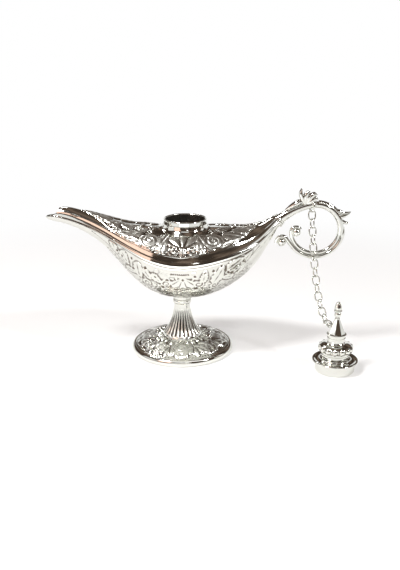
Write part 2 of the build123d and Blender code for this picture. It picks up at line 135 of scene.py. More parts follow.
# Soft lamps: place, height on the lamp's axis that it faces, width and height, power in watts.
WHITE, WARM = (1.0, 1.0, 1.0), (1.0, 0.70, 0.58)
LAMPS = {
    "key softbox": ((-0.46, -0.30, 0.95), 0.05, (0.22, 0.18), 7.5, WHITE),
    "right softbox": ((0.62, -0.34, 0.62), 0.05, (0.10, 0.14), 3.0, WHITE),
    "back softbox": ((-0.24, 0.55, 0.70), 0.05, (0.18, 0.05), 0.6, WHITE),
    "front softbox": ((0.0, -0.50, 0.72), 0.05, (0.42, 0.12), 0.22, WHITE),
    "low card": ((0.16, -0.75, 0.50), 0.06, (0.09, 0.07), 0.10, WHITE),
    "left card": ((-0.85, -0.18, 0.42), 0.06, (0.60, 0.36), 0.62, WHITE),
    "right card": ((0.86, 0.14, 0.42), 0.06, (0.24, 0.32), 0.24, WHITE),
    "warm card": ((-0.50, -0.56, 0.42), 0.06, (0.42, 0.36), 0.66, WARM),
    "foot card": ((-0.01, -0.13, 0.046), 0.03, (0.11, 0.05), 0.016, WHITE),
    "stem card": ((0.0, -0.049, 0.056), 0.015, (0.12, 0.022), 0.012, WHITE),
}
FLOOR_HALF = 3.0


def smooth_line(places, values, at):
    """Smooth line through rows of values, read at other places."""
    places, values, at = (np.asarray(v, float) for v in (places, values, at))
    step = np.diff(places)
    rise = np.diff(values, axis=0) / step[:, None]
    slope = np.empty_like(values)
    slope[0], slope[-1] = rise[0], rise[-1]
    slope[1:-1] = (rise[:-1] * step[1:, None] + rise[1:] * step[:-1, None]) / (step[1:] + step[:-1])[:, None]
    left = np.clip(np.searchsorted(places, at) - 1, 0, len(step) - 1)
    t = ((at - places[left]) / step[left])[:, None]
    width = step[left][:, None]
    near = (1 + 2 * t) * (1 - t) ** 2 * values[left] + t * (1 - t) ** 2 * width * slope[left]
    far = t**2 * (3 - 2 * t) * values[left + 1] + t**2 * (t - 1) * width * slope[left + 1]
    return near + far


def ease(value, low, high):
    """0 below low, 1 above high and a smooth step between."""
    t = np.clip((np.asarray(value, float) - low) / (high - low), 0, 1)
    return t * t * (3 - 2 * t)


def unit(vectors):
    """Vectors of length one."""
    return vectors / np.maximum(np.linalg.norm(vectors, axis=-1, keepdims=True), TINY * MM)


def way_of(angle):
    """Direction in a plane at an angle in radians."""
    return np.array([math.cos(angle), math.sin(angle)])


def full_turn(steps):
    """Angles in radians spread evenly over a whole turn."""
    return np.linspace(0, 2 * np.pi, steps, endpoint=False)


class Signal:
    """A socket that can stand in a sum, in a material or a geometry tree."""

    def __init__(self, sheet, socket):
        self.sheet = sheet
        self.socket = socket

    def _sum(self, operation, first, second):
        return self.sheet.node("ShaderNodeMath", {"operation": operation}, {0: first, 1: second})

    def __add__(self, other):
        return self._sum("ADD", self, other)

    def __mul__(self, other):
        return self._sum("MULTIPLY", self, other)

    def __sub__(self, other):
        return self._sum("SUBTRACT", self, other)

    def __truediv__(self, other):
        return self._sum("DIVIDE", self, other)

    def __pow__(self, other):
        return self._sum("POWER", self, other)


class Sheet:
    """A node tree being drawn."""

    def __init__(self, tree):
        self.tree = tree

    def node(self, kind, settings=None, inputs=None, output=0):
        """Any node, and one of its outputs."""
        made = self.tree.nodes.new(kind)
        for name, value in (settings or {}).items():
            setattr(made, name, value)
        for key, value in (inputs or {}).items():
            if isinstance(value, Signal):
                self.tree.links.new(value.socket, made.inputs[key])
            else:
                made.inputs[key].default_value = value
        return Signal(self, made.outputs[output]) if made.outputs else None

    def noise(self, place, scale, detail=2.0, roughness=0.5):
        """Cloudy noise from 0 to 1."""
        return self.node("ShaderNodeTexNoise", {}, {
            "Vector": place, "Scale": scale, "Detail": detail, "Roughness": roughness,
        })

    def part(self, vector, axis):
        """One part of a vector, by the number of its axis."""
        return self.node("ShaderNodeSeparateXYZ", {}, {0: vector}, output=axis)

    def maths(self, operation, *values):
        return self.node("ShaderNodeMath", {"operation": operation}, dict(enumerate(values)))

    def rise(self, value, low, high, top=1.0, kind="SMOOTHSTEP"):
        """0 where the value is low, and the top where it is high."""
        return self.node("ShaderNodeMapRange", {"interpolation_type": kind}, {
            "Value": value, "From Min": low, "From Max": high, "To Max": top,
        })

    def blend(self, share, first, second):
        """Colour between two others."""
        first, second = (c if isinstance(c, Signal) else (*c, 1.0) for c in (first, second))
        return self.node("ShaderNodeMix", {"data_type": "RGBA"}, {0: share, 6: first, 7: second}, output=2)

    def surface(self, shader):
        """Hands a shader to the material's output."""
        self.node("ShaderNodeOutputMaterial", {}, {"Surface": shader})

    def metal(self, colour, roughness, height, strength, distance):
        """Bare metal with a fine bump as the material's surface."""
        bump = self.node("ShaderNodeBump", {}, {"Strength": strength, "Distance": distance, "Height": height})
        self.surface(self.node("ShaderNodeBsdfPrincipled", {}, {
            "Base Color": colour, "Metallic": 1.0, "Roughness": roughness, "Normal": bump,
        }))


def start_material(name):
    """Sheet of an empty material, and the place on the object that its textures read."""
    material = bpy.data.materials.new(name)
    material.use_nodes = True
    material.node_tree.nodes.clear()
    sheet = Sheet(material.node_tree)
    return sheet, sheet.node("ShaderNodeTexCoord", output="Object")


def darker(colour, share):
    """A colour with each part scaled."""
    return tuple(share * c for c in colour)


def plated_metal(name, tint, recess_shade_colour, roughness, ripple, embossed):
    """Bright plating, slightly wavy and cloudy; rougher in the recesses with painted shade darkening them, satin on the
    raised ornament.
    """
    sheet, place = start_material(name)
    cloud = sheet.noise(place, 55.0, 4.0, 0.6)
    grain = sheet.noise(place, 420.0, 3.0)
    pits = sheet.node("ShaderNodeTexVoronoi", {}, {"Vector": place, "Scale": 900.0})
    gloss = cloud * 0.05 + grain * 0.03 + roughness
    if embossed:
        recess = sheet.node("ShaderNodeAttribute", {"attribute_name": "recess"}, output="Fac")
        raised = sheet.node("ShaderNodeAttribute", {"attribute_name": "raised"}, output="Fac")
        # Painted shade: the recess mark, with a little grain, blends the colour towards the dark shade colour where
        # shade falls in the ornament.
        depth = sheet.rise(recess + (grain - 0.5) * 0.15, 0.12, 0.75)
        colour = sheet.blend(depth, tint, recess_shade_colour)
        gloss = gloss + depth * 0.16 + raised * 0.24
    else:
        colour = sheet.blend(sheet.rise(cloud, 0.3, 0.75, 0.35, "LINEAR"), tint, darker(tint, 0.85))
    sheet.metal(colour, gloss, cloud * 0.7 + grain * ripple + pits * 0.05, 0.25, 0.2 * MM)


def rolled_steel(name, tint):
    """Zinc-plated steel with turning marks round the upright axis."""
    sheet, place = start_material(name)
    rings = sheet.node(
        "ShaderNodeTexWave", {"wave_type": "RINGS", "rings_direction": "Z"},
        {"Vector": place, "Scale": 900.0, "Distortion": 1.5, "Detail": 2.0},
    )
    cloud = sheet.noise(place, 300.0)
    sheet.metal(sheet.blend(cloud, tint, darker(tint, 0.7)), cloud * 0.15 + 0.3, rings, 0.3, 0.1 * MM)


def backdrop_paper(name, tint, glow):
    """Pale paper that shows as white to the eye and in the plating, and still takes the shadow."""
    sheet, place = start_material(name)
    colour = sheet.blend(sheet.noise(place, 30.0) * 0.1, tint, darker(tint, 0.97))
    paper = sheet.node("ShaderNodeBsdfDiffuse", {}, {"Color": colour})
    seen, mirrored, through = (
        sheet.node("ShaderNodeLightPath", output=f"Is {ray} Ray") for ray in ("Camera", "Glossy", "Transmission")
    )
    eye = seen + mirrored + through
    lit = sheet.node("ShaderNodeEmission", {}, {"Strength": eye * glow})
    near = sheet.node("ShaderNodeAddShader", {}, {0: paper, 1: lit})
    away = sheet.node("ShaderNodeVectorMath", {"operation": "LENGTH"}, {0: place}, output="Value")
    far = sheet.node("ShaderNodeEmission", {}, {"Strength": eye})
    sheet.surface(sheet.node("ShaderNodeMixShader", {}, {0: sheet.rise(away, 0.16, 0.42), 1: near, 2: far}))


def dim_room(name, tint):
    """World that is white up to the horizon, higher at the back, and a dim, uneven room above it."""
    world = bpy.data.worlds.new(name)
    world.use_nodes = True
    world.node_tree.nodes.clear()
    sheet = Sheet(world.node_tree)
    way = sheet.node("ShaderNodeTexCoord", output="Generated")
    dim = sheet.rise(sheet.part(way, 2) - sheet.part(way, 1) * 0.18, 0.02, 0.16)
    patch = sheet.rise(sheet.noise(way, 3.5, 3.0), 0.42, 0.7)
    walls = sheet.blend(patch, darker(tint, 0.55), darker(tint, 2.4))
    glow = sheet.node("ShaderNodeBackground", {}, {"Color": sheet.blend(dim, WHITE, walls), "Strength": 1.0})
    sheet.node("ShaderNodeOutputWorld", {}, {"Surface": glow})
    return world


class Recipe(Sheet):
    """A geometry tree with named inputs for its sizes."""

    def __init__(self, name, **sizes):
        super().__init__(bpy.data.node_groups.new(name, "GeometryNodeTree"))
        sockets = self.tree.interface
        sockets.new_socket(name="Geometry", in_out="INPUT", socket_type="NodeSocketGeometry")
        for label, value in sizes.items():
            kind = "NodeSocketInt" if isinstance(value, int) else "NodeSocketFloat"
            sockets.new_socket(name=label, in_out="INPUT", socket_type=kind).default_value = value
        sockets.new_socket(name="Finish", in_out="INPUT", socket_type="NodeSocketMaterial")
        sockets.new_socket(name="Geometry", in_out="OUTPUT", socket_type="NodeSocketGeometry")
        self.source = self.tree.nodes.new("NodeGroupInput")

    def given(self, label):
        return Signal(self, self.source.outputs[label])

    def raised(self, height):
        """Vector straight up of a given height."""
        return self.node("ShaderNodeCombineXYZ", {}, {2: self.given(height)})

    def close(self, geometry, smooth=True):
        """Instances made real, shaded, finished and handed out."""
        real = self.node("GeometryNodeRealizeInstances", {}, {0: geometry})
        shaded = self.node("GeometryNodeSetShadeSmooth", {}, {0: real, "Shade Smooth": smooth})
        done = self.node("GeometryNodeSetMaterial", {}, {"Geometry": shaded, "Material": self.given("Finish")})
        out = self.tree.nodes.new("NodeGroupOutput")
        self.tree.links.new(done.socket, out.inputs[0])
        return self

    def grow(self, base=None, finish="plain plating", **sizes):
        """Plain mesh that the tree makes from a base mesh and these sizes."""
        holder = bpy.data.objects.new(self.tree.name, base or bpy.data.meshes.new("seed"))
        bpy.context.scene.collection.objects.link(holder)
        modifier = holder.modifiers.new("Tree", "NODES")
        modifier.node_group = self.tree
        values = {**sizes, "Finish": bpy.data.materials[finish]}
        for item in self.tree.interface.items_tree:
            if item.in_out == "INPUT" and item.name in values:
                modifier[item.identifier] = values[item.name]
        bpy.context.view_layer.update()
        seen = holder.evaluated_get(bpy.context.evaluated_depsgraph_get())
        mesh = bpy.data.meshes.new_from_object(seen)
        bpy.data.objects.remove(holder)
        return mesh


def bead_row():
    """Beads of one size along an edge line."""
    tree = Recipe("bead_row", Count=20, Radius=0.5 * MM)
    line = tree.node("GeometryNodeMeshToCurve", {}, {0: tree.given("Geometry")})
    even = tree.node("GeometryNodeResampleCurve", {}, {"Curve": line, "Count": tree.given("Count")})
    bead = tree.node("GeometryNodeMeshUVSphere", {}, {"Segments": 12, "Rings": 8, "Radius": tree.given("Radius")})
    return tree.close(tree.node("GeometryNodeInstanceOnPoints", {}, {"Points": even, "Instance": bead}))


def oval_link():
    """One link of wire, its long way along Y."""
    tree = Recipe("oval_link", Length=6.0 * MM, Width=4.5 * MM, Wire=0.45 * MM)
    circle, wire = (
        tree.node("GeometryNodeCurvePrimitiveCircle", {}, {"Resolution": steps, "Radius": radius})
        for steps, radius in ((42, tree.given("Width") / 2), (16, tree.given("Wire")))
    )
    side = tree.maths("SIGN", tree.part(tree.node("GeometryNodeInputPosition"), 1) + TINY)
    shift = side * ((tree.given("Length") - tree.given("Width")) / 2)
    drawn = tree.node("ShaderNodeCombineXYZ", {}, {1: shift})
    oval = tree.node("GeometryNodeSetPosition", {}, {"Geometry": circle, "Offset": drawn})
    return tree.close(tree.node("GeometryNodeCurveToMesh", {}, {"Curve": oval, "Profile Curve": wire}))


def stem_flutes():
    """Flutes pressed into a turned surface where its weight asks for them."""
    tree = Recipe("stem_flutes", Flutes=24, Depth=0.6 * MM)
    place = tree.node("GeometryNodeInputPosition")
    x, y = tree.part(place, 0), tree.part(place, 1)
    ridge = tree.maths("ABSOLUTE", tree.maths("COSINE", tree.maths("ARCTAN2", y, x) * tree.given("Flutes") / 2))
    weight = tree.node("GeometryNodeInputNamedAttribute", {"data_type": "FLOAT"}, {"Name": "flute"})
    press = (ridge**0.7 - 0.75) * weight * tree.given("Depth")
    flat = tree.node("ShaderNodeCombineXYZ", {}, {0: x, 1: y})
    outward = tree.node("ShaderNodeVectorMath", {"operation": "NORMALIZE"}, {0: flat})
    moved = tree.node("ShaderNodeVectorMath", {"operation": "SCALE"}, {0: outward, "Scale": press})
    return tree.close(tree.node("GeometryNodeSetPosition", {}, {"Geometry": tree.given("Geometry"), "Offset": moved}))


def lobed_gallery():
    """Pear-shaped lobes round the lid."""
    tree = Recipe("lobed_gallery", Lobes=14, Ring=8.0 * MM, Lobe=2.6 * MM, Height=15.0 * MM)
    circle = tree.node("GeometryNodeMeshCircle", {}, {"Vertices": tree.given("Lobes"), "Radius": tree.given("Ring")})
    lifted = tree.node("GeometryNodeSetPosition", {}, {"Geometry": circle, "Offset": tree.raised("Height")})
    lobe = tree.node("GeometryNodeMeshUVSphere", {}, {"Segments": 24, "Rings": 16, "Radius": tree.given("Lobe")})
    tall = tree.node("GeometryNodeTransform", {}, {"Geometry": lobe, "Scale": (1.0, 1.0, 1.25)})
    return tree.close(tree.node("GeometryNodeInstanceOnPoints", {}, {"Points": lifted, "Instance": tall}))


def faceted_spire():
    """Spire with flat sides."""
    tree = Recipe("faceted_spire", Sides=8, Foot=5.0 * MM, Tip=1.3 * MM, Height=8.7 * MM, Base=23.8 * MM)
    cone = tree.node("GeometryNodeMeshCone", {}, {
        "Vertices": tree.given("Sides"), "Radius Top": tree.given("Tip"), "Radius Bottom": tree.given("Foot"),
        "Depth": tree.given("Height"),
    })
    turned_cone = tree.node("GeometryNodeTransform", {}, {
        "Geometry": cone, "Translation": tree.raised("Base"), "Rotation": (0.0, 0.0, math.radians(22.5)),
    })
    return tree.close(turned_cone, smooth=False)


def edge_line(points):
    """Mesh of one edge line, from points in millimetres."""
    mesh = bpy.data.meshes.new("line")
    mesh.from_pydata(points * MM, [(i, i + 1) for i in range(len(points) - 1)], [])
    return mesh


def grid_faces(rows, columns, closed_rows=False, closed_columns=False):
    """Quads of a grid of points stored row by row."""
    r = np.arange(rows if closed_rows else rows - 1)
    c = np.arange(columns if closed_columns else columns - 1)
    r, c = np.meshgrid(r, c, indexing="ij")
    r2, c2 = (r + 1) % rows, (c + 1) % columns
    return np.stack([r * columns + c, r * columns + c2, r2 * columns + c2, r2 * columns + c], -1).reshape(-1, 4)


class Casting:
    """Surfaces in millimetres that become one piece."""

    # Per-point marks: painted shade in the recesses, satin on the raised ornament, and the weight of the flutes.
    MARKS = ("recess", "raised", "flute")

    def __init__(self):
        self.points, self.faces, self.extras, self.count = [], [], [], 0

    def add(self, points, faces, recess=0.0, raised=0.0, flute=0.0):
        """A surface with its marks for the finish and the painted recess shade; gives the number of its first point."""
        points = np.asarray(points, float).reshape(-1, 3)
        start = self.count
        self.points.append(points)
        self.extras.append(np.stack([np.broadcast_to(np.ravel(v), len(points)) for v in (recess, raised, flute)], -1))
        self.faces += [tuple(int(i) + start for i in face) for face in faces]
        self.count += len(points)
        return start

    def add_mesh(self, mesh, place=(0, 0, 0)):
        """A plain mesh in metres, moved by a place in millimetres."""
        self.add(points_of(mesh) / MM + np.asarray(place, float), [tuple(p.vertices) for p in mesh.polygons])
        bpy.data.meshes.remove(mesh)

    def mesh(self, name):
        """The whole casting as one mesh in metres, doubles merged."""
        made = bpy.data.meshes.new(name)
        made.from_pydata(np.concatenate(self.points) * MM, [], self.faces)
        extras = np.concatenate(self.extras)
        for column, label in enumerate(self.MARKS):
            layer = made.attributes.new(label, "FLOAT", "POINT")
            layer.data.foreach_set("value", np.ascontiguousarray(extras[:, column]))
        shape = bmesh.new()
        shape.from_mesh(made)
        bmesh.ops.remove_doubles(shape, verts=shape.verts, dist=WELD)
        bmesh.ops.dissolve_degenerate(shape, edges=shape.edges, dist=WELD)
        bmesh.ops.recalc_face_normals(shape, faces=shape.faces)
        shape.to_mesh(made)
        shape.free()
        return made


def points_of(mesh):
    """Points of a mesh as an array."""
    points = np.empty(len(mesh.vertices) * 3)
    mesh.vertices.foreach_get("co", points)
    return points.reshape(-1, 3)


def set_piece(name, mesh, finish, body, node, sharp=48.0):
    """A finished piece on its body, in place of its CAD node."""
    mesh.name = name
    mesh.materials.clear()
    mesh.materials.append(bpy.data.materials[finish])
    mesh.shade_smooth()
    mesh.set_sharp_from_angle(angle=math.radians(sharp))
    piece = bpy.data.objects.new(name, mesh)
    bpy.context.scene.collection.objects.link(piece)
    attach(piece, body)
    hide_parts(node)


def lathe(outline, steps, centre=(0, 0, 0), closed=True):
    """Points and faces of a turned surface from radii and heights."""
    outline = np.asarray(outline, float)
    turn = full_turn(steps)
    radius, height = outline[:, :1], outline[:, 1:2]
    points = np.stack([radius * np.cos(turn), radius * np.sin(turn), height + 0 * turn], -1)
    return points + np.asarray(centre, float), grid_faces(len(outline), steps, closed, True)


def finer(outline, length):
    """An outline with points added so that no run is longer than the length."""
    outline = np.asarray(outline, float)
    made = [outline[:1]]
    for a, b in zip(outline, outline[1:]):
        count = max(1, int(np.ceil(np.linalg.norm(b - a) / length)))
        made.append(a + (b - a) * (np.arange(1, count + 1) / count)[:, None])
    return np.concatenate(made)


def turned(outline, length, steps, centre):
    """Points and faces of a turned solid with a closed outline, in runs no longer than the length."""
    return lathe(finer([*outline, outline[0]], length)[:-1], steps, centre)


def arc(centre, radius, start, end, count):
    """Points on an arc in a plane, angles in degrees."""
    turn = np.radians(np.linspace(start, end, count))
    return np.stack([centre[0] + radius * np.cos(turn), centre[1] + radius * np.sin(turn)], -1)


def rod(path, radii, sides=20, wide=1.0):
    """Closed round rod along points in the lamp's upright middle plane, or near it."""
    path = np.asarray(path, float)
    radii = np.broadcast_to(radii, len(path))
    along = unit(np.gradient(path, axis=0))
    across = unit(Y_AXIS - along * along[:, 1:2])
    out = np.cross(along, across)
    turn = full_turn(sides)
    ring = wide * across[:, None] * np.cos(turn)[None, :, None] + out[:, None] * np.sin(turn)[None, :, None]
    points = path[:, None] + ring * radii[:, None, None]
    faces = list(map(tuple, grid_faces(len(path), sides, False, True)))
    last, base = len(path) * sides, (len(path) - 1) * sides
    for i in range(sides):
        after = (i + 1) % sides
        faces += [(last, after, i), (last + 1, base + i, base + after)]
    return np.concatenate([points.reshape(-1, 3), path[[0, -1]]]), faces


def hoop(centre, first, second, radius, wire, steps, sides=12):
    """Ring of round wire in the plane of two directions."""
    turn, round_wire = full_turn(steps)[:, None, None], full_turn(sides)[None, :, None]
    out = np.cos(turn) * first + np.sin(turn) * second
    points = centre + (radius + wire * np.cos(round_wire)) * out + wire * np.sin(round_wire) * np.cross(first, second)
    return points, grid_faces(steps, sides, True, True)


def ball(centre, radius, steps):
    """Closed ball."""
    outline = arc((0, 0), radius, -90, 90, steps // 2)
    return lathe(outline, steps, centre, closed=False)


def rose(a, b):
    """Open rose seen from above: petals that wind round a cupped middle."""
    reach = np.hypot(a, b)
    turn = np.arctan2(b, a)
    edge = 0.90 + 0.10 * np.abs(np.cos(2.5 * turn))
    wind = (2.9 * reach + turn / (2 * np.pi)) % 1.0
    petal = 0.5 - 0.5 * np.cos(2 * np.pi * wind**0.8)
    dome = np.sqrt(np.clip(1 - (0.82 * reach / edge) ** 2, 0, 1))
    return np.where(reach < edge, dome * (0.60 + 0.40 * petal), 0)


def leaf(a, b):
    """Toothed leaf from its stalk at a = -1 to its tip at a = 1, with a sunk midrib and side veins."""
    width = 0.46 * np.sqrt(np.clip(1 - a * a, 0, 1)) * (1.12 - 0.4 * a) * (1 + 0.10 * np.sin(4.5 * np.pi * a))
    across = np.abs(b) / np.maximum(width, TINY)
    body = 0.45 + 0.55 * np.sqrt(np.clip(1 - across**2, 0, 1))
    rib = 0.45 * np.exp(-((b / 0.08) ** 2))
    veins = 0.06 * np.cos(9 * (a - 1.3 * np.abs(b)))
    return np.where((across < 1) & (np.abs(a) < 1), body - rib + veins, 0)


def fan(a, b):
    """Shell of ribs that spread from its foot at b = -1."""
    reach = np.hypot(a, b + 1) / 1.9
    turn = np.arctan2(a, b + 1)
    ribs = np.abs(np.cos(5.5 * turn))
    edge = 0.86 + 0.14 * ribs
    inside = (reach < edge) & (np.abs(turn) < 1.15)
    return np.where(inside, (0.25 + 0.75 * ribs**0.6) * np.clip(0.35 + reach, 0, 1), 0)


def curl(a, b):
    """Volute that winds in to a round eye."""
    reach = np.maximum(np.hypot(a, b), TINY)
    wind = (np.arctan2(b, a) / (2 * np.pi) - 0.95 * np.log(reach)) % 1.0
    ridge = np.sqrt(np.clip(1 - (np.abs(wind - 0.5) / 0.34) ** 2, 0, 1))
    eye = np.sqrt(np.clip(1 - (reach / 0.26) ** 2, 0, 1))
    return np.where(reach < 1, np.maximum(ridge * (0.6 + 0.3 * (1 - reach)), 1.1 * eye), 0)


def flower(a, b):
    """Small flower of five round petals and a bead."""
    reach = np.hypot(a, b)
    turn = np.arctan2(b, a)
    petal = np.abs(np.cos(2.5 * turn)) ** 0.6
    bowl = np.clip(1 - (reach / np.maximum(0.62 + 0.38 * petal, TINY)) ** 4, 0, 1) * (0.35 + 0.55 * petal)
    bead = 1.15 * np.sqrt(np.clip(1 - (reach / 0.30) ** 2, 0, 1))
    return np.maximum(bowl * (reach > 0.24), bead)


def drop(a, b):
    """Plain round bead."""
    return np.sqrt(np.clip(1 - a * a - b * b, 0, 1))


def emboss(points, marks):
    """Height of the relief at each point, in millimetres."""
    relief = np.zeros(points.shape[:-1])
    for motif, centre, frame_of, size, turn, lift in marks:
        away = points - centre
        near = np.abs(away).max(-1) < 1.5 * size
        if not near.any():
            continue
        local = away[near] @ frame_of.T / size
        c, s = math.cos(turn), math.sin(turn)
        a, b = local[:, 0] * c + local[:, 1] * s, local[:, 1] * c - local[:, 0] * s
        height = lift * motif(a, b) * (np.abs(local[:, 2]) < 0.9)
        relief[near] = np.where(np.abs(height) > np.abs(relief[near]), height, relief[near])
    return relief


def softened(relief, rounds, closed_columns=False):
    """A grid of heights with its steps worn round."""
    for _ in range(rounds):
        rows = np.pad(relief, ((1, 1), (0, 0)), mode="edge")
        relief = (rows[:-2] + 2 * relief + rows[2:]) / 4
        columns = np.pad(relief, ((0, 0), (1, 1)), mode="wrap" if closed_columns else "edge")
        relief = (columns[:, :-2] + 2 * relief + columns[:, 2:]) / 4
    return relief


def cavity(relief, span, deep, closed_columns=False):
    """How deep each point lies under its surroundings, from 0 to 1."""
    return np.clip((softened(relief, span, closed_columns) - relief) / deep, 0, 1)


def surface_normals(points, closed_columns=False):
    """Normals of a grid of points, rows along the first axis."""
    along = np.gradient(points, axis=0)
    if closed_columns:
        round_ = np.roll(points, -1, axis=1) - np.roll(points, 1, axis=1)
    else:
        round_ = np.gradient(points, axis=1)
    return unit(np.cross(along, round_))


def section(x):
    """Half width, seam height, depth below it and height above it at places along X."""
    x = np.asarray(x, float)
    return smooth_line(SECTIONS[:, 0], SECTIONS[:, 1:], x.ravel()).T.reshape(4, *x.shape)


def thinned_section(x, wall):
    """The section less the wall, which thins towards the spout's lip."""
    width, seam, below, above = section(x)
    thin = LIP_WALL + (wall - LIP_WALL) * ease(x, -SPOUT, FULL_WALL_X) if wall else 0.0
    return width - thin, seam, below - thin, above - thin


def body_place(x, phi, top):
    """Point on the body's outside, and the directions along it, up it and out of it."""
    near = np.array([x - 0.05, x, x + 0.05])
    width, seam, below, above = section(near)
    side, climb = math.cos(math.radians(phi)), math.sin(math.radians(phi))
    height = above if top else -below
    points = np.stack([near, -width * side, seam + height * climb], -1)
    along = unit(points[2] - points[0])
    up = unit(np.array([0.0, width[1] * climb, height[1] * side]))
    out = unit(np.cross(along, up))
    if not top:
        out = -out
    return points[1], np.stack([along, np.cross(out, along), out])


def body_mark(motif, x, phi, size, turn, lift, top=True):
    """One ornament on the body; turn is in degrees from the way to the tail."""
    centre, frame_of = body_place(x, phi, top)
    return motif, centre, frame_of, size, math.radians(turn), lift


def spread(x, phi, out, turn, top=True):
    """Place and angle reached by going a way out from another place."""
    width, _, below, above = section(x)
    height = above if top else below
    f = math.radians(phi)
    scale = math.hypot(width * math.sin(f), height * math.cos(f))
    climb = out * math.sin(math.radians(turn))
    return x + out * math.cos(math.radians(turn)), phi + math.degrees(climb / scale) * (1 if top else -1)


def filled(marks, floor_of, low, high, sizes, lift, seed, top, room=0.9):
    """Small curls, leaves and beads in the gaps between larger ornaments."""
    chance = np.random.default_rng(seed)
    centres = [m[1] for m in marks]
    reaches = [m[3] for m in marks]
    added = []
    for _ in range(2600):
        x = chance.uniform(low, high)
        start = floor_of(x)
        if start > 84:
            continue
        phi = chance.uniform(start, 88)
        size = chance.uniform(*sizes)
        turn = chance.uniform(0, 360)
        pick = chance.random()
        centre, frame_of = body_place(x, phi, top)
        if top and math.hypot(centre[0] - NECK_X, centre[1]) < NECK_FLOOR + size * 0.5:
            continue
        gaps = np.linalg.norm(np.array(centres) - centre, axis=1) - room * np.array(reaches)
        if gaps.min() < size * 0.8:
            continue
        motif = curl if pick < 0.42 else leaf if pick < 0.78 else flower if pick < 0.9 else drop
        reach = size * (0.6 if motif is drop else 1.0)
        centres.append(centre)
        reaches.append(reach)
        added.append((motif, centre, frame_of, reach, math.radians(turn), lift))
    return added


def border_at(x):
    """Angle at which the plain band above the seam ends and the ornament starts."""
    return np.interp(x, BORDER[:, 0], BORDER[:, 1])


def shoulder_marks(size):
    """Ornament of the upper shell's near side."""
    marks = []
    for x, phi, reach in ((-18.8, 42, 7.0), (19.2, 44, 7.4)):
        for k in range(6):
            turn = 30 + 60 * k
            place = spread(x, phi, 1.22 * reach, turn)
            marks.append(body_mark(leaf, *place, 0.56 * reach, turn + 30, 0.8 * size))
        marks.append(body_mark(rose, x, phi, reach, 20, 1.15 * size))
    marks.append(body_mark(fan, 1.4, 46, 6.8, 0, size))
    marks.append(body_mark(curl, -4.4, 31, 3.7, 40, size))
    marks.append(body_mark(curl, 7.2, 31, 3.7, 140, size))
    marks.append(body_mark(leaf, 1.4, 25.0, 3.6, -90, 0.9 * size))
    for x, phi, reach, turn in (
        (-9.6, 50, 6.0, 68), (-10.4, 33, 5.4, 84), (11.2, 50, 6.0, 112), (11.6, 33, 5.4, 96), (-30.2, 50, 7.4, 200),
        (-30.6, 34, 5.6, 188), (31.6, 50, 7.4, -20), (28.6, 35, 5.0, 12), (36.6, 66, 6.2, 2), (-47.0, 76, 5.6, 182),
        (-54.0, 80, 4.4, 184), (42.6, 74, 5.2, -4), (-41.6, 66, 5.2, 176), (48.4, 78, 4.0, 0), (-33.0, 72, 5.6, 165),
        (25.6, 74, 5.2, 30), (-24.6, 70, 5.2, 150),
    ):
        marks.append(body_mark(leaf, x, phi, reach, turn, size))
    for x, phi, reach in ((-38.4, 50, 4.0), (24.6, 29.5, 3.2), (-23.6, 28.5, 3.2), (39.4, 53, 3.0)):
        marks.append(body_mark(flower, x, phi, reach, 10, size))
    for x, phi, reach in ((-58.5, 82, 1.2), (-60.8, 84, 0.8), (52.5, 82, 1.1), (-42.8, 50, 1.2)):
        marks.append(body_mark(drop, x, phi, reach, 0, 0.8 * size))
    marks += filled(marks, lambda x: border_at(x) + 5, -56, 50, (2.5, 3.8), 0.85 * size, 7, True)
    return marks


def belly_marks(size):
    """Low ornament of the bowl's near side."""
    marks = []
    for x, phi, reach, turn in (
        (-25.3, 24.5, 6.0, -62), (-20.0, 22.0, 4.2, -40), (22.5, 20.5, 6.6, 50), (32.5, 13.5, 6.4, 14),
        (-33.5, 19.5, 5.0, -35), (-14.5, 23.0, 4.4, -30), (14.0, 17.0, 4.4, 70), (-40.0, 14.0, 4.6, -40),
        (40.5, 10.5, 4.4, 25), (-30.0, 36.0, 4.2, 20), (28.0, 30.0, 4.2, 160),
    ):
        marks.append(body_mark(leaf, x, phi, reach, turn, size, False))
    for x, phi, reach, turn in ((-8.5, 27, 3.6, 30), (10.5, 27, 3.6, 150), (-20, 38, 3.2, 60), (20, 36, 3.2, 120)):
        marks.append(body_mark(curl, x, phi, reach, turn, size, False))
    marks.append(body_mark(fan, 1.2, 26, 5.4, 180, size, False))
    for k in range(9):
        x, phi = spread(1.2, 16, 8.2, 200 + 17.5 * k, False)
        marks.append(body_mark(drop, x, phi, 0.55, 0, 0.8 * size, False))
    for x in np.linspace(-5.6, 4.4, 9):
        marks.append(body_mark(drop, x, 11.2, 0.62, 0, -size, False))
    for x, phi, reach in (
        (-21.1, 13.5, 1.0), (-15.2, 21, 0.8), (-8.1, 21, 0.9), (-10.8, 35, 1.3), (9.0, 34.5, 1.4), (8.4, 14.6, 0.8),
        (14.3, 12, 0.8), (24.4, 8, 0.7), (-35.2, 21, 0.9), (-29.4, 12, 0.8), (-38.3, 18, 0.8), (19.5, 12, 0.9),
        (35.5, 19, 0.8), (-24.5, 37, 0.8), (1.2, 18.5, 0.7), (28.4, 22, 0.8),
    ):
        marks.append(body_mark(drop, x, phi, reach, 0, -1.7 * size, False))
    marks += filled(marks, lambda x: 9 + abs(x) * 0.1, -44, 42, (1.1, 1.8), 0.7 * size, 11, False)
    return marks


def groove(points, line, width, depth):
    """Fine line cut along a row of places on the bowl."""
    path = finer(np.array([body_place(x, phi, False)[0] for x, phi in line]), 0.4)
    relief = np.zeros(points.shape[:-1])
    flat, out = points.reshape(-1, 3), relief.reshape(-1)
    for start in range(0, len(path), 12):
        piece = path[start:start + 12]
        near = (np.abs(flat - piece.mean(0)).max(-1)) < 8
        gap = np.linalg.norm(flat[near][:, None] - piece[None], axis=-1).min(1)
        out[near] = np.minimum(out[near], -depth * np.exp(-((gap / width) ** 2)))
    return relief


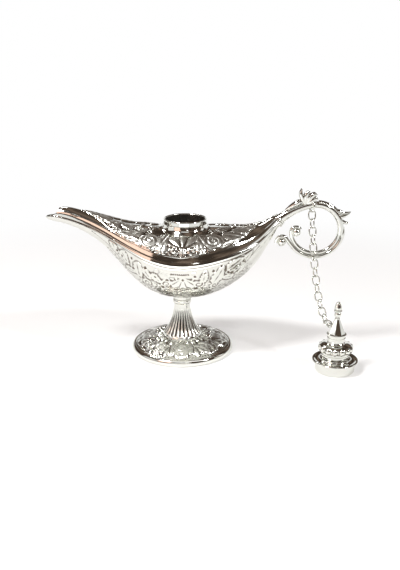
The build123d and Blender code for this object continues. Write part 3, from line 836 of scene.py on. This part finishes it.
def body_sheet(top, columns, rows, wall):
    """Near side of a shell's outside or inside: points, columns along X and rows up from the seam."""
    x = np.linspace(-SPOUT, TAIL_PLACE[0], columns)
    _, seam, _, above = thinned_section(x, wall)
    limit = np.ones(columns)
    if top:
        bay = NOTCH_RADIUS - np.sqrt(np.clip(NOTCH_RADIUS**2 - (x - NOTCH_X) ** 2, 0, None))
        cut = np.where(x > NOTCH_END, np.inf, NOTCH_FLOOR + np.where(x < NOTCH_X, 0.0, bay))
        limit = np.clip((cut - seam) / above, 0.04, 1.0)
    share = np.linspace(0, 1, rows)
    phi = np.arcsin(limit)[:, None] * share
    end = np.full(rows, TAIL_PLACE[0])
    for _ in range(40):
        _, end_seam, end_below, end_above = section(end)
        rise = end_seam - TAIL_PLACE[2] + (end_above if top else -end_below) * np.sin(np.pi / 2 * share)
        end = 0.7 * end + 0.3 * np.minimum(TAIL_PLACE[0] - rise * math.tan(HEADING), TAIL)
    x = x[:, None] + ease(x, 30.0, TAIL_PLACE[0])[:, None] * (end - TAIL_PLACE[0])
    width, seam, below, above = thinned_section(x, wall)
    z = seam + (SEAM_GAP if top else 0.0) + (above if top else -below) * np.sin(phi)
    y = -width * np.cos(phi)
    y = np.where(phi > np.pi / 2 - 1e-9, 0.0, y)
    points = np.stack([x, y, z], -1)
    return points, np.degrees(phi), int((limit < 1).sum())


def shell_loop(start_near, start_far, columns, rows, opened):
    """Rim of a shell as (key, point) pairs, from the tail along the near seam and back."""
    def at(start, i, j):
        return start + i * rows + j

    near, far, last, top = start_near, start_far, columns - 1, rows - 1
    runs = [
        [at(near, i, 0) for i in range(last, -1, -1)],
        [at(near, 0, j) for j in range(rows)],
        [at(near, i, top) for i in range(opened + 1)],
        [at(far, i, top) for i in range(opened, -1, -1)],
        [at(far, 0, j) for j in range(top, -1, -1)],
        [at(far, i, 0) for i in range(columns)],
        [at(far, last, j) for j in range(rows)],
        [at(near, last, j) for j in range(top, -1, -1)],
    ]
    pairs = []
    for number, run in enumerate(runs):
        share = np.linspace(0, 1, len(run)) if len(run) > 1 else [0.5]
        pairs += [(number + t, index) for t, index in zip(share, run)]
    return pairs


def zipped(first, second):
    """Triangles between two closed rims whose keys run together."""
    first, second = first + [(1e9, first[0][1])], second + [(1e9, second[0][1])]
    faces, i, j = [], 0, 0
    while i < len(first) - 1 or j < len(second) - 1:
        step_first = j == len(second) - 1 or (i < len(first) - 1 and first[i + 1][0] <= second[j + 1][0])
        if step_first:
            faces.append((first[i][1], first[i + 1][1], second[j][1]))
            i += 1
        else:
            faces.append((first[i][1], second[j + 1][1], second[j][1]))
            j += 1
    return [face for face in faces if len(set(face)) == 3]


def add_shell(casting, top, wall, columns, rows, relief_of):
    """Outside with its ornament, inside and rims of one body shell."""
    loops, holes = [], []
    for inside, (across, up) in ((False, (columns, rows)), (True, (columns // 4, rows // 4))):
        points, phi, opened = body_sheet(top, across, up, wall if inside else 0)
        recess, raised = np.zeros((2, *points.shape[:2]))
        if not inside:
            out = surface_normals(points) * (1 if top else -1)
            relief = relief_of(points, phi)
            # Painted shade mask: how far each point lies under the relief round it, which darkens the colour there.
            recess = cavity(relief, 12 if top else 8, 0.45 if top else 0.09)
            raised = ease(relief, 0.05, 0.5) * top
            lifted = points + out * relief[..., None]
            lifted[:, -1, 1] = np.where(points[:, -1, 1] == 0, 0, lifted[:, -1, 1])
            points = lifted
        hole = np.zeros(points.shape[:2], bool)
        if top:
            reach = np.hypot(points[..., 0] - NECK_X, points[..., 1])
            hole = reach < NECK_BORE + NECK_WALL / 2
            scale = (NECK_BORE + NECK_WALL / 2) / np.maximum(reach, TINY)
            edge = np.stack(
                [NECK_X + (points[..., 0] - NECK_X) * scale, points[..., 1] * scale, points[..., 2]], -1
            )
            points = np.where(hole[..., None], edge, points)
        faces = grid_faces(across, up)
        faces = faces[~hole.reshape(-1)[faces].all(1)]
        used = np.unique(faces)
        starts = [
            casting.add(side, faces, recess, raised) for side in (points, points * np.array([1.0, -1.0, 1.0]))
        ]
        loops.append(shell_loop(*starts, across, up, max(opened, 1) if top else 0))
        if top:
            rim = used[hole.reshape(-1)[used]]
            pairs = []
            for start, sign in zip(starts, (1, -1)):
                flat = points.reshape(-1, 3)[rim]
                turn = np.arctan2(flat[:, 1] * sign, flat[:, 0] - NECK_X)
                pairs += [(float(t), int(i) + start) for t, i in zip(turn, rim)]
            holes.append(sorted(pairs))
    casting.faces += zipped(*loops)
    if top:
        casting.faces += zipped(*holes)


def shell_relief(size):
    """Ornament and sunk ground of the upper shell."""
    def relief_of(points, phi):
        x = points[..., 0]
        start = border_at(x)
        ground = ease(phi, start - 1.2, start + 1.0)
        reach = np.hypot(x - NECK_X, points[..., 1])
        ground *= ease(reach, 15.0, 15.8)
        marks = shoulder_marks(size)
        relief = softened(emboss(points, marks), 1) * ground
        bead = np.exp(-(((phi - start + 1.5) / 1.3) ** 2)) * (start < 80)
        bevel = 0.5 * np.clip(phi / 6, 0, 1) * (1 - ease(phi, 6.0, 40.0))
        return relief - 0.32 * ground + 0.22 * bead * (reach > 18) - bevel
    return relief_of


def bowl_relief(size):
    """Low ornament and fine lines of the bowl."""
    def relief_of(points, phi):
        relief = emboss(points, belly_marks(size))
        relief *= ease(phi, 4.5, 6.0) * (1 - ease(phi, 60, 66))
        line = groove(points, [(47.5, 9), (41, 18), (33, 29), (23.5, 42), (11.4, 54.5)], 0.22, 0.22)
        line += groove(points, [(-54, 11), (-44, 24), (-34, 36), (-22, 47), (-10, 56)], 0.22, 0.22)
        seam = -0.06 * np.exp(-(((phi - 3.2) / 0.9) ** 2)) + 0.10 * np.exp(-(((phi - 1.4) / 1.0) ** 2))
        return relief + line + seam * ease(points[..., 0], -78, -70)
    return relief_of


def collar():
    """Outline of the neck's collar and skirt."""
    outer = NECK_BORE + NECK_WALL
    flare = smooth_line([0, 0.5, 1.0], [(outer, 82.6), (outer + 0.9, 80.3), (outer + 2.9, 78.0)], np.linspace(0, 1, 12))
    lip = [(NECK_BORE, 85.35), (NECK_BORE + 0.2, 85.62), (NECK_BORE + 0.55, 85.75), (outer - 0.2, 85.62), (outer, 85.3)]
    ridge = [(outer, 83.0), (outer + 0.25, 82.8)]
    return np.concatenate([lip, ridge, flare, [(outer + 2.0, 76.4), (NECK_BORE, 76.4)]])


class LampFinish(bpy.types.PropertyGroup):
    plating: bpy.props.FloatVectorProperty(
        name="Plating", description="Colour of the bright plating", default=(0.765, 0.77, 0.725), subtype="COLOR",
        size=3, min=0, max=1,
    )
    # Painted shade: dark colour blended into the plating in the recesses of the ornament, where shade falls.
    recess: bpy.props.FloatVectorProperty(
        name="Recess", description="Colour of the plating deep in the ornament", default=(0.15, 0.125, 0.10),
        subtype="COLOR", size=3, min=0, max=1,
    )
    steel: bpy.props.FloatVectorProperty(
        name="Steel", description="Colour of the screw and washer", default=(0.55, 0.55, 0.56), subtype="COLOR",
        size=3, min=0, max=1,
    )
    room: bpy.props.FloatVectorProperty(
        name="Room", description="Colour of the dim room that the upper faces mirror", default=(0.085, 0.062, 0.048),
        subtype="COLOR", size=3, min=0, max=1,
    )


class LampBody(bpy.types.PropertyGroup):
    relief: bpy.props.FloatProperty(
        name="Relief", description="Height of the ornament on the shoulders", default=1.05 * MM, unit="LENGTH",
    )
    low_relief: bpy.props.FloatProperty(
        name="Low relief", description="Height of the ornament on the bowl", default=0.26 * MM, unit="LENGTH",
    )
    wall: bpy.props.FloatProperty(name="Wall", description="Wall of the shells", default=1.5 * MM, unit="LENGTH")


class LampFoot(bpy.types.PropertyGroup):
    flutes: bpy.props.IntProperty(name="Flutes", description="Flutes round the stem", default=24, min=6)
    flute_depth: bpy.props.FloatProperty(
        name="Flute depth", description="Depth of the flutes where the stem is widest", default=1.25 * MM,
        unit="LENGTH",
    )
    relief: bpy.props.FloatProperty(
        name="Relief", description="Height of the ornament on the foot", default=1.15 * MM, unit="LENGTH",
    )


class LampChain(bpy.types.PropertyGroup):
    wire: bpy.props.FloatProperty(
        name="Wire", description="Radius of the links' wire", default=0.45 * MM, unit="LENGTH",
    )
    length: bpy.props.FloatProperty(
        name="Length", description="Between the wire centres of a link's bows", default=5.95 * MM, unit="LENGTH",
    )
    width: bpy.props.FloatProperty(
        name="Width", description="Between the wire centres of a link's sides", default=4.5 * MM, unit="LENGTH",
    )


class LampLid(bpy.types.PropertyGroup):
    lobes: bpy.props.IntProperty(name="Lobes", description="Lobes of the gallery", default=14, min=6)
    lobe: bpy.props.FloatProperty(name="Lobe", description="Radius of one lobe", default=1.75 * MM, unit="LENGTH")
    sides: bpy.props.IntProperty(name="Sides", description="Flat sides of the spire", default=8, min=4)


class LAMP_OT_stage(bpy.types.Operator):
    """Floor, soft lamps, camera and the finishes"""

    bl_idname = "lamp.stage"
    bl_label = "Stage and finishes"

    def execute(self, context):
        finish = context.scene.lamp_finish
        tint, recess = tuple(finish.plating), tuple(finish.recess)
        plated_metal("embossed plating", tint, recess, 0.05, 0.35, True)
        plated_metal("plain plating", tint, recess, 0.045, 0.2, False)
        rolled_steel("fastener steel", tuple(finish.steel))
        backdrop_paper("floor paper", (0.80, 0.80, 0.80), 0.28)

        mesh = bpy.data.meshes.new("floor")
        corners = [(x * FLOOR_HALF, y * FLOOR_HALF, 0) for x, y in ((-1, -1), (1, -1), (1, 1), (-1, 1))]
        mesh.from_pydata(corners, [], [(0, 1, 2, 3)])
        mesh.materials.append(bpy.data.materials["floor paper"])
        floor = bpy.data.objects.new("floor", mesh)
        context.scene.collection.objects.link(floor)

        for name, (place, target_height, size, power, colour) in LAMPS.items():
            light = bpy.data.lights.new(name, "AREA")
            light.shape = "RECTANGLE"
            light.size, light.size_y = size
            light.energy, light.color = power, colour
            lamp = bpy.data.objects.new(name, light)
            lamp.location = place
            lamp.visible_camera = False
            way = Vector((0.0, 0.0, target_height)) - lamp.location
            lamp.rotation_euler = way.to_track_quat("-Z", "Y").to_euler()
            context.scene.collection.objects.link(lamp)

        context.scene.world = dim_room("room", finish.room)

        view = bpy.data.cameras.new("view")
        view.lens, view.sensor_width = CAMERA_LENS, CAMERA_SENSOR
        view.clip_start, view.clip_end = 0.01, 20.0
        camera = bpy.data.objects.new("view", view)
        camera.location = CAMERA_PLACE
        camera.rotation_euler = (math.pi / 2 - CAMERA_TILT, 0, 0)
        context.scene.collection.objects.link(camera)
        context.scene.camera = camera
        context.scene.view_settings.view_transform = "Standard"
        return {"FINISHED"}


class LAMP_OT_body(bpy.types.Operator):
    """Upper shell with its collar, and bowl, with their cast ornament"""

    bl_idname = "lamp.body"
    bl_label = "Body"

    def execute(self, context):
        sizes = context.scene.lamp_body
        shell = Casting()
        add_shell(shell, True, sizes.wall / MM, 400, 98, shell_relief(sizes.relief / MM))
        points, faces = turned(collar(), 0.5, 160, (NECK_X, 0, 0))
        bore = np.hypot(points[..., 0] - NECK_X, points[..., 1]) < NECK_BORE + 0.15
        # Painted shade: the inside of the bore is darkened halfway towards the recess shade colour, and made rougher.
        shell.add(points, faces, recess=0.5 * bore, raised=0.5 * bore)
        set_piece(
            "upper_shell_cast", shell.mesh("shell"), "embossed plating", "lamp", "upper_shell"
        )
        bowl = Casting()
        add_shell(bowl, False, sizes.wall / MM, 360, 88, bowl_relief(sizes.low_relief / MM))
        pad = [(2.03, 34.9), (5.2, 34.9), (5.2, 42.6), (2.03, 42.6)]
        bowl.add(*lathe(pad, 64))
        set_piece("lower_bowl_cast", bowl.mesh("bowl"), "embossed plating", "lamp", "lower_bowl")
        return {"FINISHED"}


class LAMP_OT_foot(bpy.types.Operator):
    """Domed foot with its ornament and the fluted stem"""

    bl_idname = "lamp.foot"
    bl_label = "Foot"

    def execute(self, context):
        sizes = context.scene.lamp_foot
        rim = [(31.5, 0), (32.1, 0.5), (32.5, 1.6), (32.45, 2.7), (32.0, 3.6), (31.1, 4.25), (30.5, 4.4), (30.1, 4.2)]
        shares = [(0.911, 0.45), (0.870, 0.52), (0.740, 0.70), (0.560, 0.88), (0.390, 1.00)]
        spot = np.array([(r * FOOT_RADIUS, z * DOME_HEIGHT) for r, z in shares])
        dome = smooth_line(-spot[:, 0], spot, np.linspace(-spot[0, 0], -spot[-1, 0], 62))
        flare_shares = [(1.0, 0.0), (0.64, 0.165), (0.40, 0.345), (0.21, 0.52), (0.07, 0.73), (0.0, 0.92)]
        spots = np.array([(WAIST + r * FLARE_WIDTH, FLARE_FOOT + z * FLARE_HEIGHT) for r, z in flare_shares])
        flare = smooth_line(spots[:, 1], spots, np.linspace(FLARE_FOOT, spots[-1, 1], 46))
        root = [(12.3, 9.9), (12.3, 10.5), (11.9, 10.9)]
        top = [(5.0, 30.9), (5.5, 31.1), (5.85, 31.8), (5.9, 32.4), (5.85, 33.0), (5.5, 33.7), (5.0, 33.9), (5.0, 34.9)]
        inner = [
            (2.2, 34.9), (2.2, 7.6), (6.5, 7.6), (12.2, 7.75), (17.2, 6.75), (23.1, 4.95), (27.3, 3.15),
            (28.66, 2.5), (28.66, 0),
        ]
        outer = np.concatenate([rim, dome, root, flare, top])
        steps = 480
        points, _ = lathe(outer, steps, closed=False)
        out = surface_normals(points, True)
        if out[10, 0, 2] < 0:
            out = -out
        marks = []

        def foot_mark(motif, radius, turn, size, tilt, lift):
            height = np.interp(radius, dome[::-1, 0], dome[::-1, 1])
            centre = np.array([radius * math.cos(turn), radius * math.sin(turn), height])
            round_ = np.array([-math.sin(turn), math.cos(turn), 0.0])
            up = np.array([0.28 * math.cos(turn), 0.28 * math.sin(turn), 1.0])
            up = up / np.linalg.norm(up)
            marks.append((motif, centre, np.stack([round_, np.cross(up, round_), up]), size, math.radians(tilt), lift))

        lift = sizes.relief / MM
        part = 2 * math.pi / 8
        for k in range(8):
            turn = part * k
            foot_mark(rose if k % 2 == 0 else flower, 21.4, turn, 5.4, 15 * k, 1.1 * lift)
            for side in (-1, 1):
                foot_mark(leaf, 20.4, turn + side * 0.30 * part, 3.2, 90 - side * 62, 0.8 * lift)
                foot_mark(leaf, 25.9, turn + side * 0.17 * part, 3.3, 90 - side * 50, 0.8 * lift)
            foot_mark(fan, 23.6, turn + part / 2, 4.4, 180, 0.9 * lift)
            foot_mark(curl, 17.2, turn + part / 2, 2.3, 40 * k, 0.9 * lift)
            foot_mark(drop, 27.6, turn + part / 2, 1.0, 0, 0.8 * lift)
            foot_mark(drop, 27.8, turn, 1.0, 0, 0.8 * lift)
        for k in range(26):
            foot_mark(leaf, 14.4, 2 * math.pi * (k + 0.5) / 26, 1.9, 90, 0.75 * lift)
        for k in range(96):
            foot_mark(drop, 28.95, 2 * math.pi * k / 96, 0.62, 0, 0.5 * lift)
        reach = np.hypot(points[..., 0], points[..., 1])
        on_dome = np.zeros(len(outer), bool)
        on_dome[len(rim):len(rim) + len(dome)] = True
        ground = (ease(reach, 12.5, 13.0) * (1 - ease(reach, 29.2, 29.5))) * on_dome[:, None]
        relief = softened(emboss(points, marks), 2, True) * ground - 0.3 * ground
        flute = np.zeros(points.shape[:2])
        on_flare = slice(len(rim) + len(dome) + len(root), len(outer) - len(top))
        wide, high = (outer[on_flare, 0] / (WAIST + FLARE_WIDTH)) ** 0.7, outer[on_flare, 1]
        flute[on_flare] = (wide * (1 - ease(high, 25.0, 29.0)) * ease(high, FLARE_FOOT, FLARE_FOOT + 0.5))[:, None]
        points = points + out * relief[..., None]
        inner = finer(np.array(inner), 3.0)
        hollow, _ = lathe(inner, steps, closed=False)
        everything = np.concatenate([points, hollow])
        ribs = np.abs(np.cos(sizes.flutes * full_turn(steps) / 2))
        valley = np.clip(1.7 - 2.1 * ribs, 0, 1) * np.clip(flute, 0, 1)
        # Painted shade: the flute valleys and the hollows of the foot's ornament are darkened towards the recess shade
        # colour.
        recess = np.concatenate([np.maximum(cavity(relief, 9, 1.3, True), valley), np.zeros(hollow.shape[:2])])
        ridge = 0.5 * np.clip(flute, 0, 1) * (1 - valley)
        raised = np.concatenate([np.maximum(ease(relief, 0.1, 0.7), ridge), np.zeros(hollow.shape[:2])])
        flute = np.concatenate([flute, np.zeros(hollow.shape[:2])])
        foot = Casting()
        foot.add(everything, grid_faces(len(everything), steps, True, True), recess, raised, flute)
        mesh = stem_flutes().grow(
            foot.mesh("foot"), "embossed plating", Flutes=sizes.flutes, Depth=sizes.flute_depth,
        )
        set_piece("foot_cast", mesh, "embossed plating", "lamp", "foot")
        return {"FINISHED"}


def ring_point(radius, angle):
    """Place along X and Z at an angle in degrees round the handle's ring."""
    return RING_CENTRE[[0, 2]] + radius * way_of(math.radians(angle))


def flat_path(points):
    """Points of the middle plane from pairs along X and Z."""
    points = np.asarray(points, float)
    return np.stack([points[:, 0], np.zeros(len(points)), points[:, 1]], -1)


def horn(points, radii, wide=1.0, lean=0.0, shift=0.0, count=24):
    """Tapered, curved lobe of a leaf."""
    at = np.linspace(0, 1, count)
    keys = np.linspace(0, 1, len(points))
    path = flat_path(smooth_line(keys, points, at))
    path[:, 1] += shift + lean * at
    size = smooth_line(np.linspace(0, 1, len(radii)), np.array(radii, float)[:, None], at)[:, 0]
    return rod(path, np.maximum(size, 0.12), 18, wide)


class LAMP_OT_handle(bpy.types.Operator):
    """Scroll handle with its strands, balls, leaf and spur"""

    bl_idname = "lamp.handle"
    bl_label = "Handle"

    def execute(self, context):
        handle = Casting()
        bend = TAIL_PLACE[[0, 2]] + BEND_RADIUS * way_of(HEADING - math.pi / 2)
        lead = arc(bend, BEND_RADIUS, math.degrees(HEADING) + 90, RING_START, 34)
        ring = arc(RING_CENTRE[[0, 2]], RING_RADIUS, RING_START, -12.0, 70)[1:]
        path = flat_path(np.vstack([lead, ring]))
        run = np.linspace(0, 1, len(lead))
        swell = 2.1 + 1.0 * (1 - ease(run, 0.0, 0.85))
        thin = np.concatenate([swell, 2.1 - 0.25 * ease(np.linspace(0, 1, len(ring)), 0.6, 1.0)])
        handle.add(*rod(path, thin, 36))
        heading = np.array([math.cos(HEADING), 0.0, math.sin(HEADING)])
        inner_end = TAIL_PLACE - heading * 6.5
        handle.add(*rod(np.array([inner_end, TAIL_PLACE]), 2.15, 24))
        side = np.array([-heading[2], 0.0, heading[0]])
        for shift, radius, bead in ((0.55, 3.45, 0.8), (1.9, 3.35, 0.6), (-0.5, 3.9, 0.55)):
            handle.add(*hoop(TAIL_PLACE + heading * shift, side, Y_AXIS, radius, bead, 48))
        centre = RING_CENTRE[[0, 2]]
        outer = arc(centre, 17.4, 5.0, -143.0, 90)
        way = way_of(math.radians(-143 - 90))
        end = outer[-1] + 6.0 * way
        middle = end + 3.6 * np.array([-way[1], way[0]])
        start = math.degrees(math.atan2(end[1] - middle[1], end[0] - middle[0]))
        outer = np.vstack([
            outer, outer[-1] + way * np.linspace(1, 5.6, 6)[:, None], arc(middle, 3.6, start, start + 150, 26),
        ])
        inner = arc(centre, 14.9, 5.0, -172.0, 90)
        way = way_of(math.radians(-172 - 90))
        eye = inner[-1] + 3.3 * np.array([way[1], -way[0]])
        start = math.degrees(math.atan2(inner[-1][1] - eye[1], inner[-1][0] - eye[0]))
        inner = np.vstack([inner, arc(eye, 3.3, start, start - 150, 26)[1:]])
        for line, spot in ((outer, middle), (inner, eye)):
            size = 1.25 - 0.45 * ease(np.linspace(0, 1, len(line)), 0.82, 1.0)
            size *= 0.55 + 0.45 * ease(np.linspace(0, 1, len(line)), 0.0, 0.08)
            handle.add(*rod(flat_path(line), size, 22))
            handle.add(*ball((spot[0], 0, spot[1]), 2.8, 36))
        crest = arc(centre, 17.5, 86.0, 26.0, 44)
        handle.add(*rod(flat_path(crest), 0.95 - 0.5 * ease(np.linspace(0, 1, 44), 0.75, 1.0), 18))
        for side in (-1, 1):
            line = flat_path(arc(centre, 17.15, 84.0, 34.0, 40))
            line[:, 1] = 1.25 * side
            beads = bead_row().grow(edge_line(line), Count=15, Radius=0.62 * MM)
            handle.add_mesh(beads)
        stalk = [(63.5, 90.6), (67.6, 93.2), (71.4, 95.4), (75.0, 96.6)]
        handle.add(*horn(stalk, (0.5, 1.5, 1.7, 0.9), 1.3))
        for lobe in (
            [(75.6, 94.2), (73.9, 97.2), (72.5, 100.4), (73.0, 103.6)],
            [(76.0, 94.4), (75.4, 97.8), (76.2, 100.8), (78.0, 102.0)],
            [(76.4, 94.4), (78.0, 97.8), (80.4, 100.3), (82.3, 100.2)],
            [(76.6, 94.2), (79.0, 96.2), (81.4, 97.8), (82.9, 97.2)],
        ):
            for side in (-1, 1):
                handle.add(*horn(lobe, (1.2, 1.6, 1.2, 0.2), 0.8, 1.1 * side, 0.5 * side))
        heart = [(76.2, 95.0), (76.6, 98.0), (78.6, 99.6), (80.2, 98.8)]
        handle.add(*horn(heart, (1.2, 1.7, 1.5, 0.9), 1.3))
        tip = (24.0, 27.5)
        for places, radii in (
            (((15.9, 48), (18.0, 40), (20.2, 31), tip), (1.1, 1.2, 0.9, 0.25)),
            (((15.8, 30), (18.2, 27), (21.0, 26), tip), (1.3, 1.2, 0.8, 0.25)),
            (((16.2, 22), (18.0, 15), (19.9, 12), (20.8, 13)), (1.2, 1.1, 0.8, 0.3)),
        ):
            handle.add(*horn([ring_point(*place) for place in places], radii, 1.2))
        set_piece(
            "handle_scroll_cast", handle.mesh("handle"), "plain plating", "lamp",
            "handle_scroll", 60.0,
        )
        return {"FINISHED"}


def lie_of(node):
    """Matrix that lays a flat piece, its long way along Y, where a CAD node lies, from the node's own shape."""
    points = points_of(frame["nodes"][node].data)
    centre = (points.min(0) + points.max(0)) / 2
    _, ways = np.linalg.eigh(np.cov((points - centre).T))
    flat, long_way = ways[:, 0], ways[:, 2]
    wide = np.cross(long_way, flat)
    matrix = Matrix.Identity(4)
    for row in range(3):
        matrix[row][0], matrix[row][1], matrix[row][2] = wide[row], long_way[row], flat[row]
        matrix[row][3] = centre[row]
    return matrix


class LAMP_OT_chain(bpy.types.Operator):
    """Rings and links of the chain"""

    bl_idname = "lamp.chain"
    bl_label = "Chain"

    def execute(self, context):
        sizes = context.scene.lamp_chain
        recipe = oval_link()
        for body in frame["bodies"]:
            if body == "handle_ring":
                ring = dict(Length=6.91 * MM, Width=6.91 * MM, Wire=0.5 * MM)
            elif body == "lid_ring":
                ring = dict(Length=4.7 * MM, Width=4.7 * MM, Wire=sizes.wire)
            elif body.startswith("chain_link"):
                ring = dict(Length=sizes.length, Width=sizes.width, Wire=sizes.wire)
            else:
                continue
            mesh = recipe.grow(**ring)
            mesh.transform(lie_of(body))
            set_piece(body + "_wire", mesh, "plain plating", body, body, 80.0)
        return {"FINISHED"}


class LAMP_OT_lid(bpy.types.Operator):
    """Plug, lobed cap and spired finial of the lid"""

    bl_idname = "lamp.lid"
    bl_label = "Lid"

    def execute(self, context):
        sizes = context.scene.lamp_lid
        plug = Casting()
        outline = [
            (11.3, 0), (11.75, 0.25), (11.9, 0.6), (11.9, 6.0), (1.53, 6.0), (1.53, 2.5), (3.0, 2.5), (3.0, 4.4),
            (10.7, 4.4), (10.7, 0),
        ]
        plug.add(*turned(outline, 1.0, 144, LID_PLACE))
        set_piece("lid_plug_cast", plug.mesh("plug"), "plain plating", "lid", "lid_plug")

        cap = Casting()
        outline = [
            (13.3, 6.0), (13.65, 6.2), (13.79, 6.6), (13.74, 7.0), (13.3, 7.35), (12.7, 7.4), (12.1, 7.0), (11.2, 6.75),
            (10.2, 6.8), (9.3, 7.1), (8.85, 7.5), (8.7, 8.1), (8.7, 8.9), (8.35, 9.1), (8.35, 10.2), (8.75, 10.4),
            (8.75, 10.9), (8.35, 11.1), (8.35, 11.7), (8.6, 11.9), (8.6, 12.4), (8.2, 12.6), (8.0, 13.2),
            (8.2, 15.0), (9.5, 15.6), (9.8, 15.9), (9.6, 16.2), (8.2, 16.9), (6.2, 17.6), (5.6, 18.0),
            (5.5, 18.4), (5.1, 18.7), (5.1, 20.4), (5.45, 20.6), (5.45, 21.2), (5.1, 21.4),
            (5.1, 22.3), (5.4, 22.5), (5.4, 22.9), (1.7, 22.9), (1.7, 21.5), (3.7, 21.5), (3.7, 16.0), (7.0, 15.0),
            (7.0, 6.0),
        ]
        cap.add(*turned(outline, 0.8, 160, LID_PLACE))
        gallery = lobed_gallery().grow(Lobes=sizes.lobes, Ring=8.85 * MM, Lobe=sizes.lobe, Height=14.5 * MM)
        cap.add_mesh(gallery, LID_PLACE)
        set_piece("lid_cap_cast", cap.mesh("cap"), "plain plating", "lid", "lid_cap")

        finial = Casting()
        orb = arc((0, 35.4), 2.1, -52, 52, 15)
        bud = smooth_line(
            [0, 0.12, 0.3, 0.6, 0.9, 1.0],
            [(1.7, 38.2), (2.25, 38.7), (2.3, 39.6), (1.85, 41.2), (1.0, 42.9), (0.0, 43.4)], np.linspace(0, 1, 14),
        )
        outline = np.vstack([
            [(0, 3.5), (1.5, 3.5), (1.5, 22.9), (5.6, 22.9), (5.9, 23.1), (5.9, 23.5), (5.5, 23.8), (4.7, 23.9)],
            [(1.35, 32.4), (1.6, 32.7), (1.6, 33.1), (1.3, 33.4)], orb,
            [(1.2, 37.2), (2.2, 37.3), (2.45, 37.55), (2.45, 37.85), (2.1, 38.1)], bud,
        ])
        finial.add(*lathe(outline, 96, LID_PLACE, closed=False))
        spire = faceted_spire().grow(
            Sides=sizes.sides, Foot=5.15 * MM, Tip=1.5 * MM, Height=8.6 * MM, Base=23.85 * MM,
        )
        finial.add_mesh(spire, LID_PLACE)
        way = np.append(way_of(math.radians(LUG_HEADING)), 0.0)
        finial.add(*hoop(LUG_PLACE, way, Z_AXIS, 1.35, 0.45, 40))
        set_piece("lid_finial_cast", finial.mesh("finial"), "plain plating", "lid", "lid_finial", 30.0)
        return {"FINISHED"}


class LAMP_OT_fasteners(bpy.types.Operator):
    """Screw and washer under the foot"""

    bl_idname = "lamp.fasteners"
    bl_label = "Fasteners"

    def execute(self, context):
        for node in ("foot_screw", "foot_washer"):
            slots = frame["nodes"][node].data.materials
            for number in range(len(slots)):
                slots[number] = bpy.data.materials["fastener steel"]
            if not slots:
                slots.append(bpy.data.materials["fastener steel"])
        return {"FINISHED"}


class LAMP_PT_panel(bpy.types.Panel):
    """Operators of the lamp"""

    bl_idname = "LAMP_PT_panel"
    bl_label = "Oil lamp"
    bl_space_type = "VIEW_3D"
    bl_region_type = "UI"
    bl_category = "Oil lamp"

    def draw(self, context):
        for operator in OPERATORS:
            self.layout.operator(operator.bl_idname)
        for group in GROUPS:
            settings = getattr(context.scene, group)
            for name in settings.bl_rna.properties.keys():
                if name not in {"rna_type", "name"}:
                    self.layout.prop(settings, name)


OPERATORS = (
    LAMP_OT_stage, LAMP_OT_body, LAMP_OT_foot, LAMP_OT_handle, LAMP_OT_chain, LAMP_OT_lid, LAMP_OT_fasteners,
)
GROUPS = {
    "lamp_finish": LampFinish, "lamp_body": LampBody, "lamp_foot": LampFoot, "lamp_chain": LampChain,
    "lamp_lid": LampLid,
}


def register():
    for group in GROUPS.values():
        bpy.utils.register_class(group)
    for name, group in GROUPS.items():
        setattr(bpy.types.Scene, name, bpy.props.PointerProperty(type=group))
    for operator in OPERATORS:
        bpy.utils.register_class(operator)
    bpy.utils.register_class(LAMP_PT_panel)


def unregister():
    bpy.utils.unregister_class(LAMP_PT_panel)
    for operator in reversed(OPERATORS):
        bpy.utils.unregister_class(operator)
    for name, group in GROUPS.items():
        delattr(bpy.types.Scene, name)
        bpy.utils.unregister_class(group)


def main():
    register()
    bpy.ops.lamp.stage()
    bpy.ops.lamp.body()
    bpy.ops.lamp.foot()
    bpy.ops.lamp.handle()
    bpy.ops.lamp.chain()
    bpy.ops.lamp.lid()
    bpy.ops.lamp.fasteners()


if __name__ == "__main__":
    main()
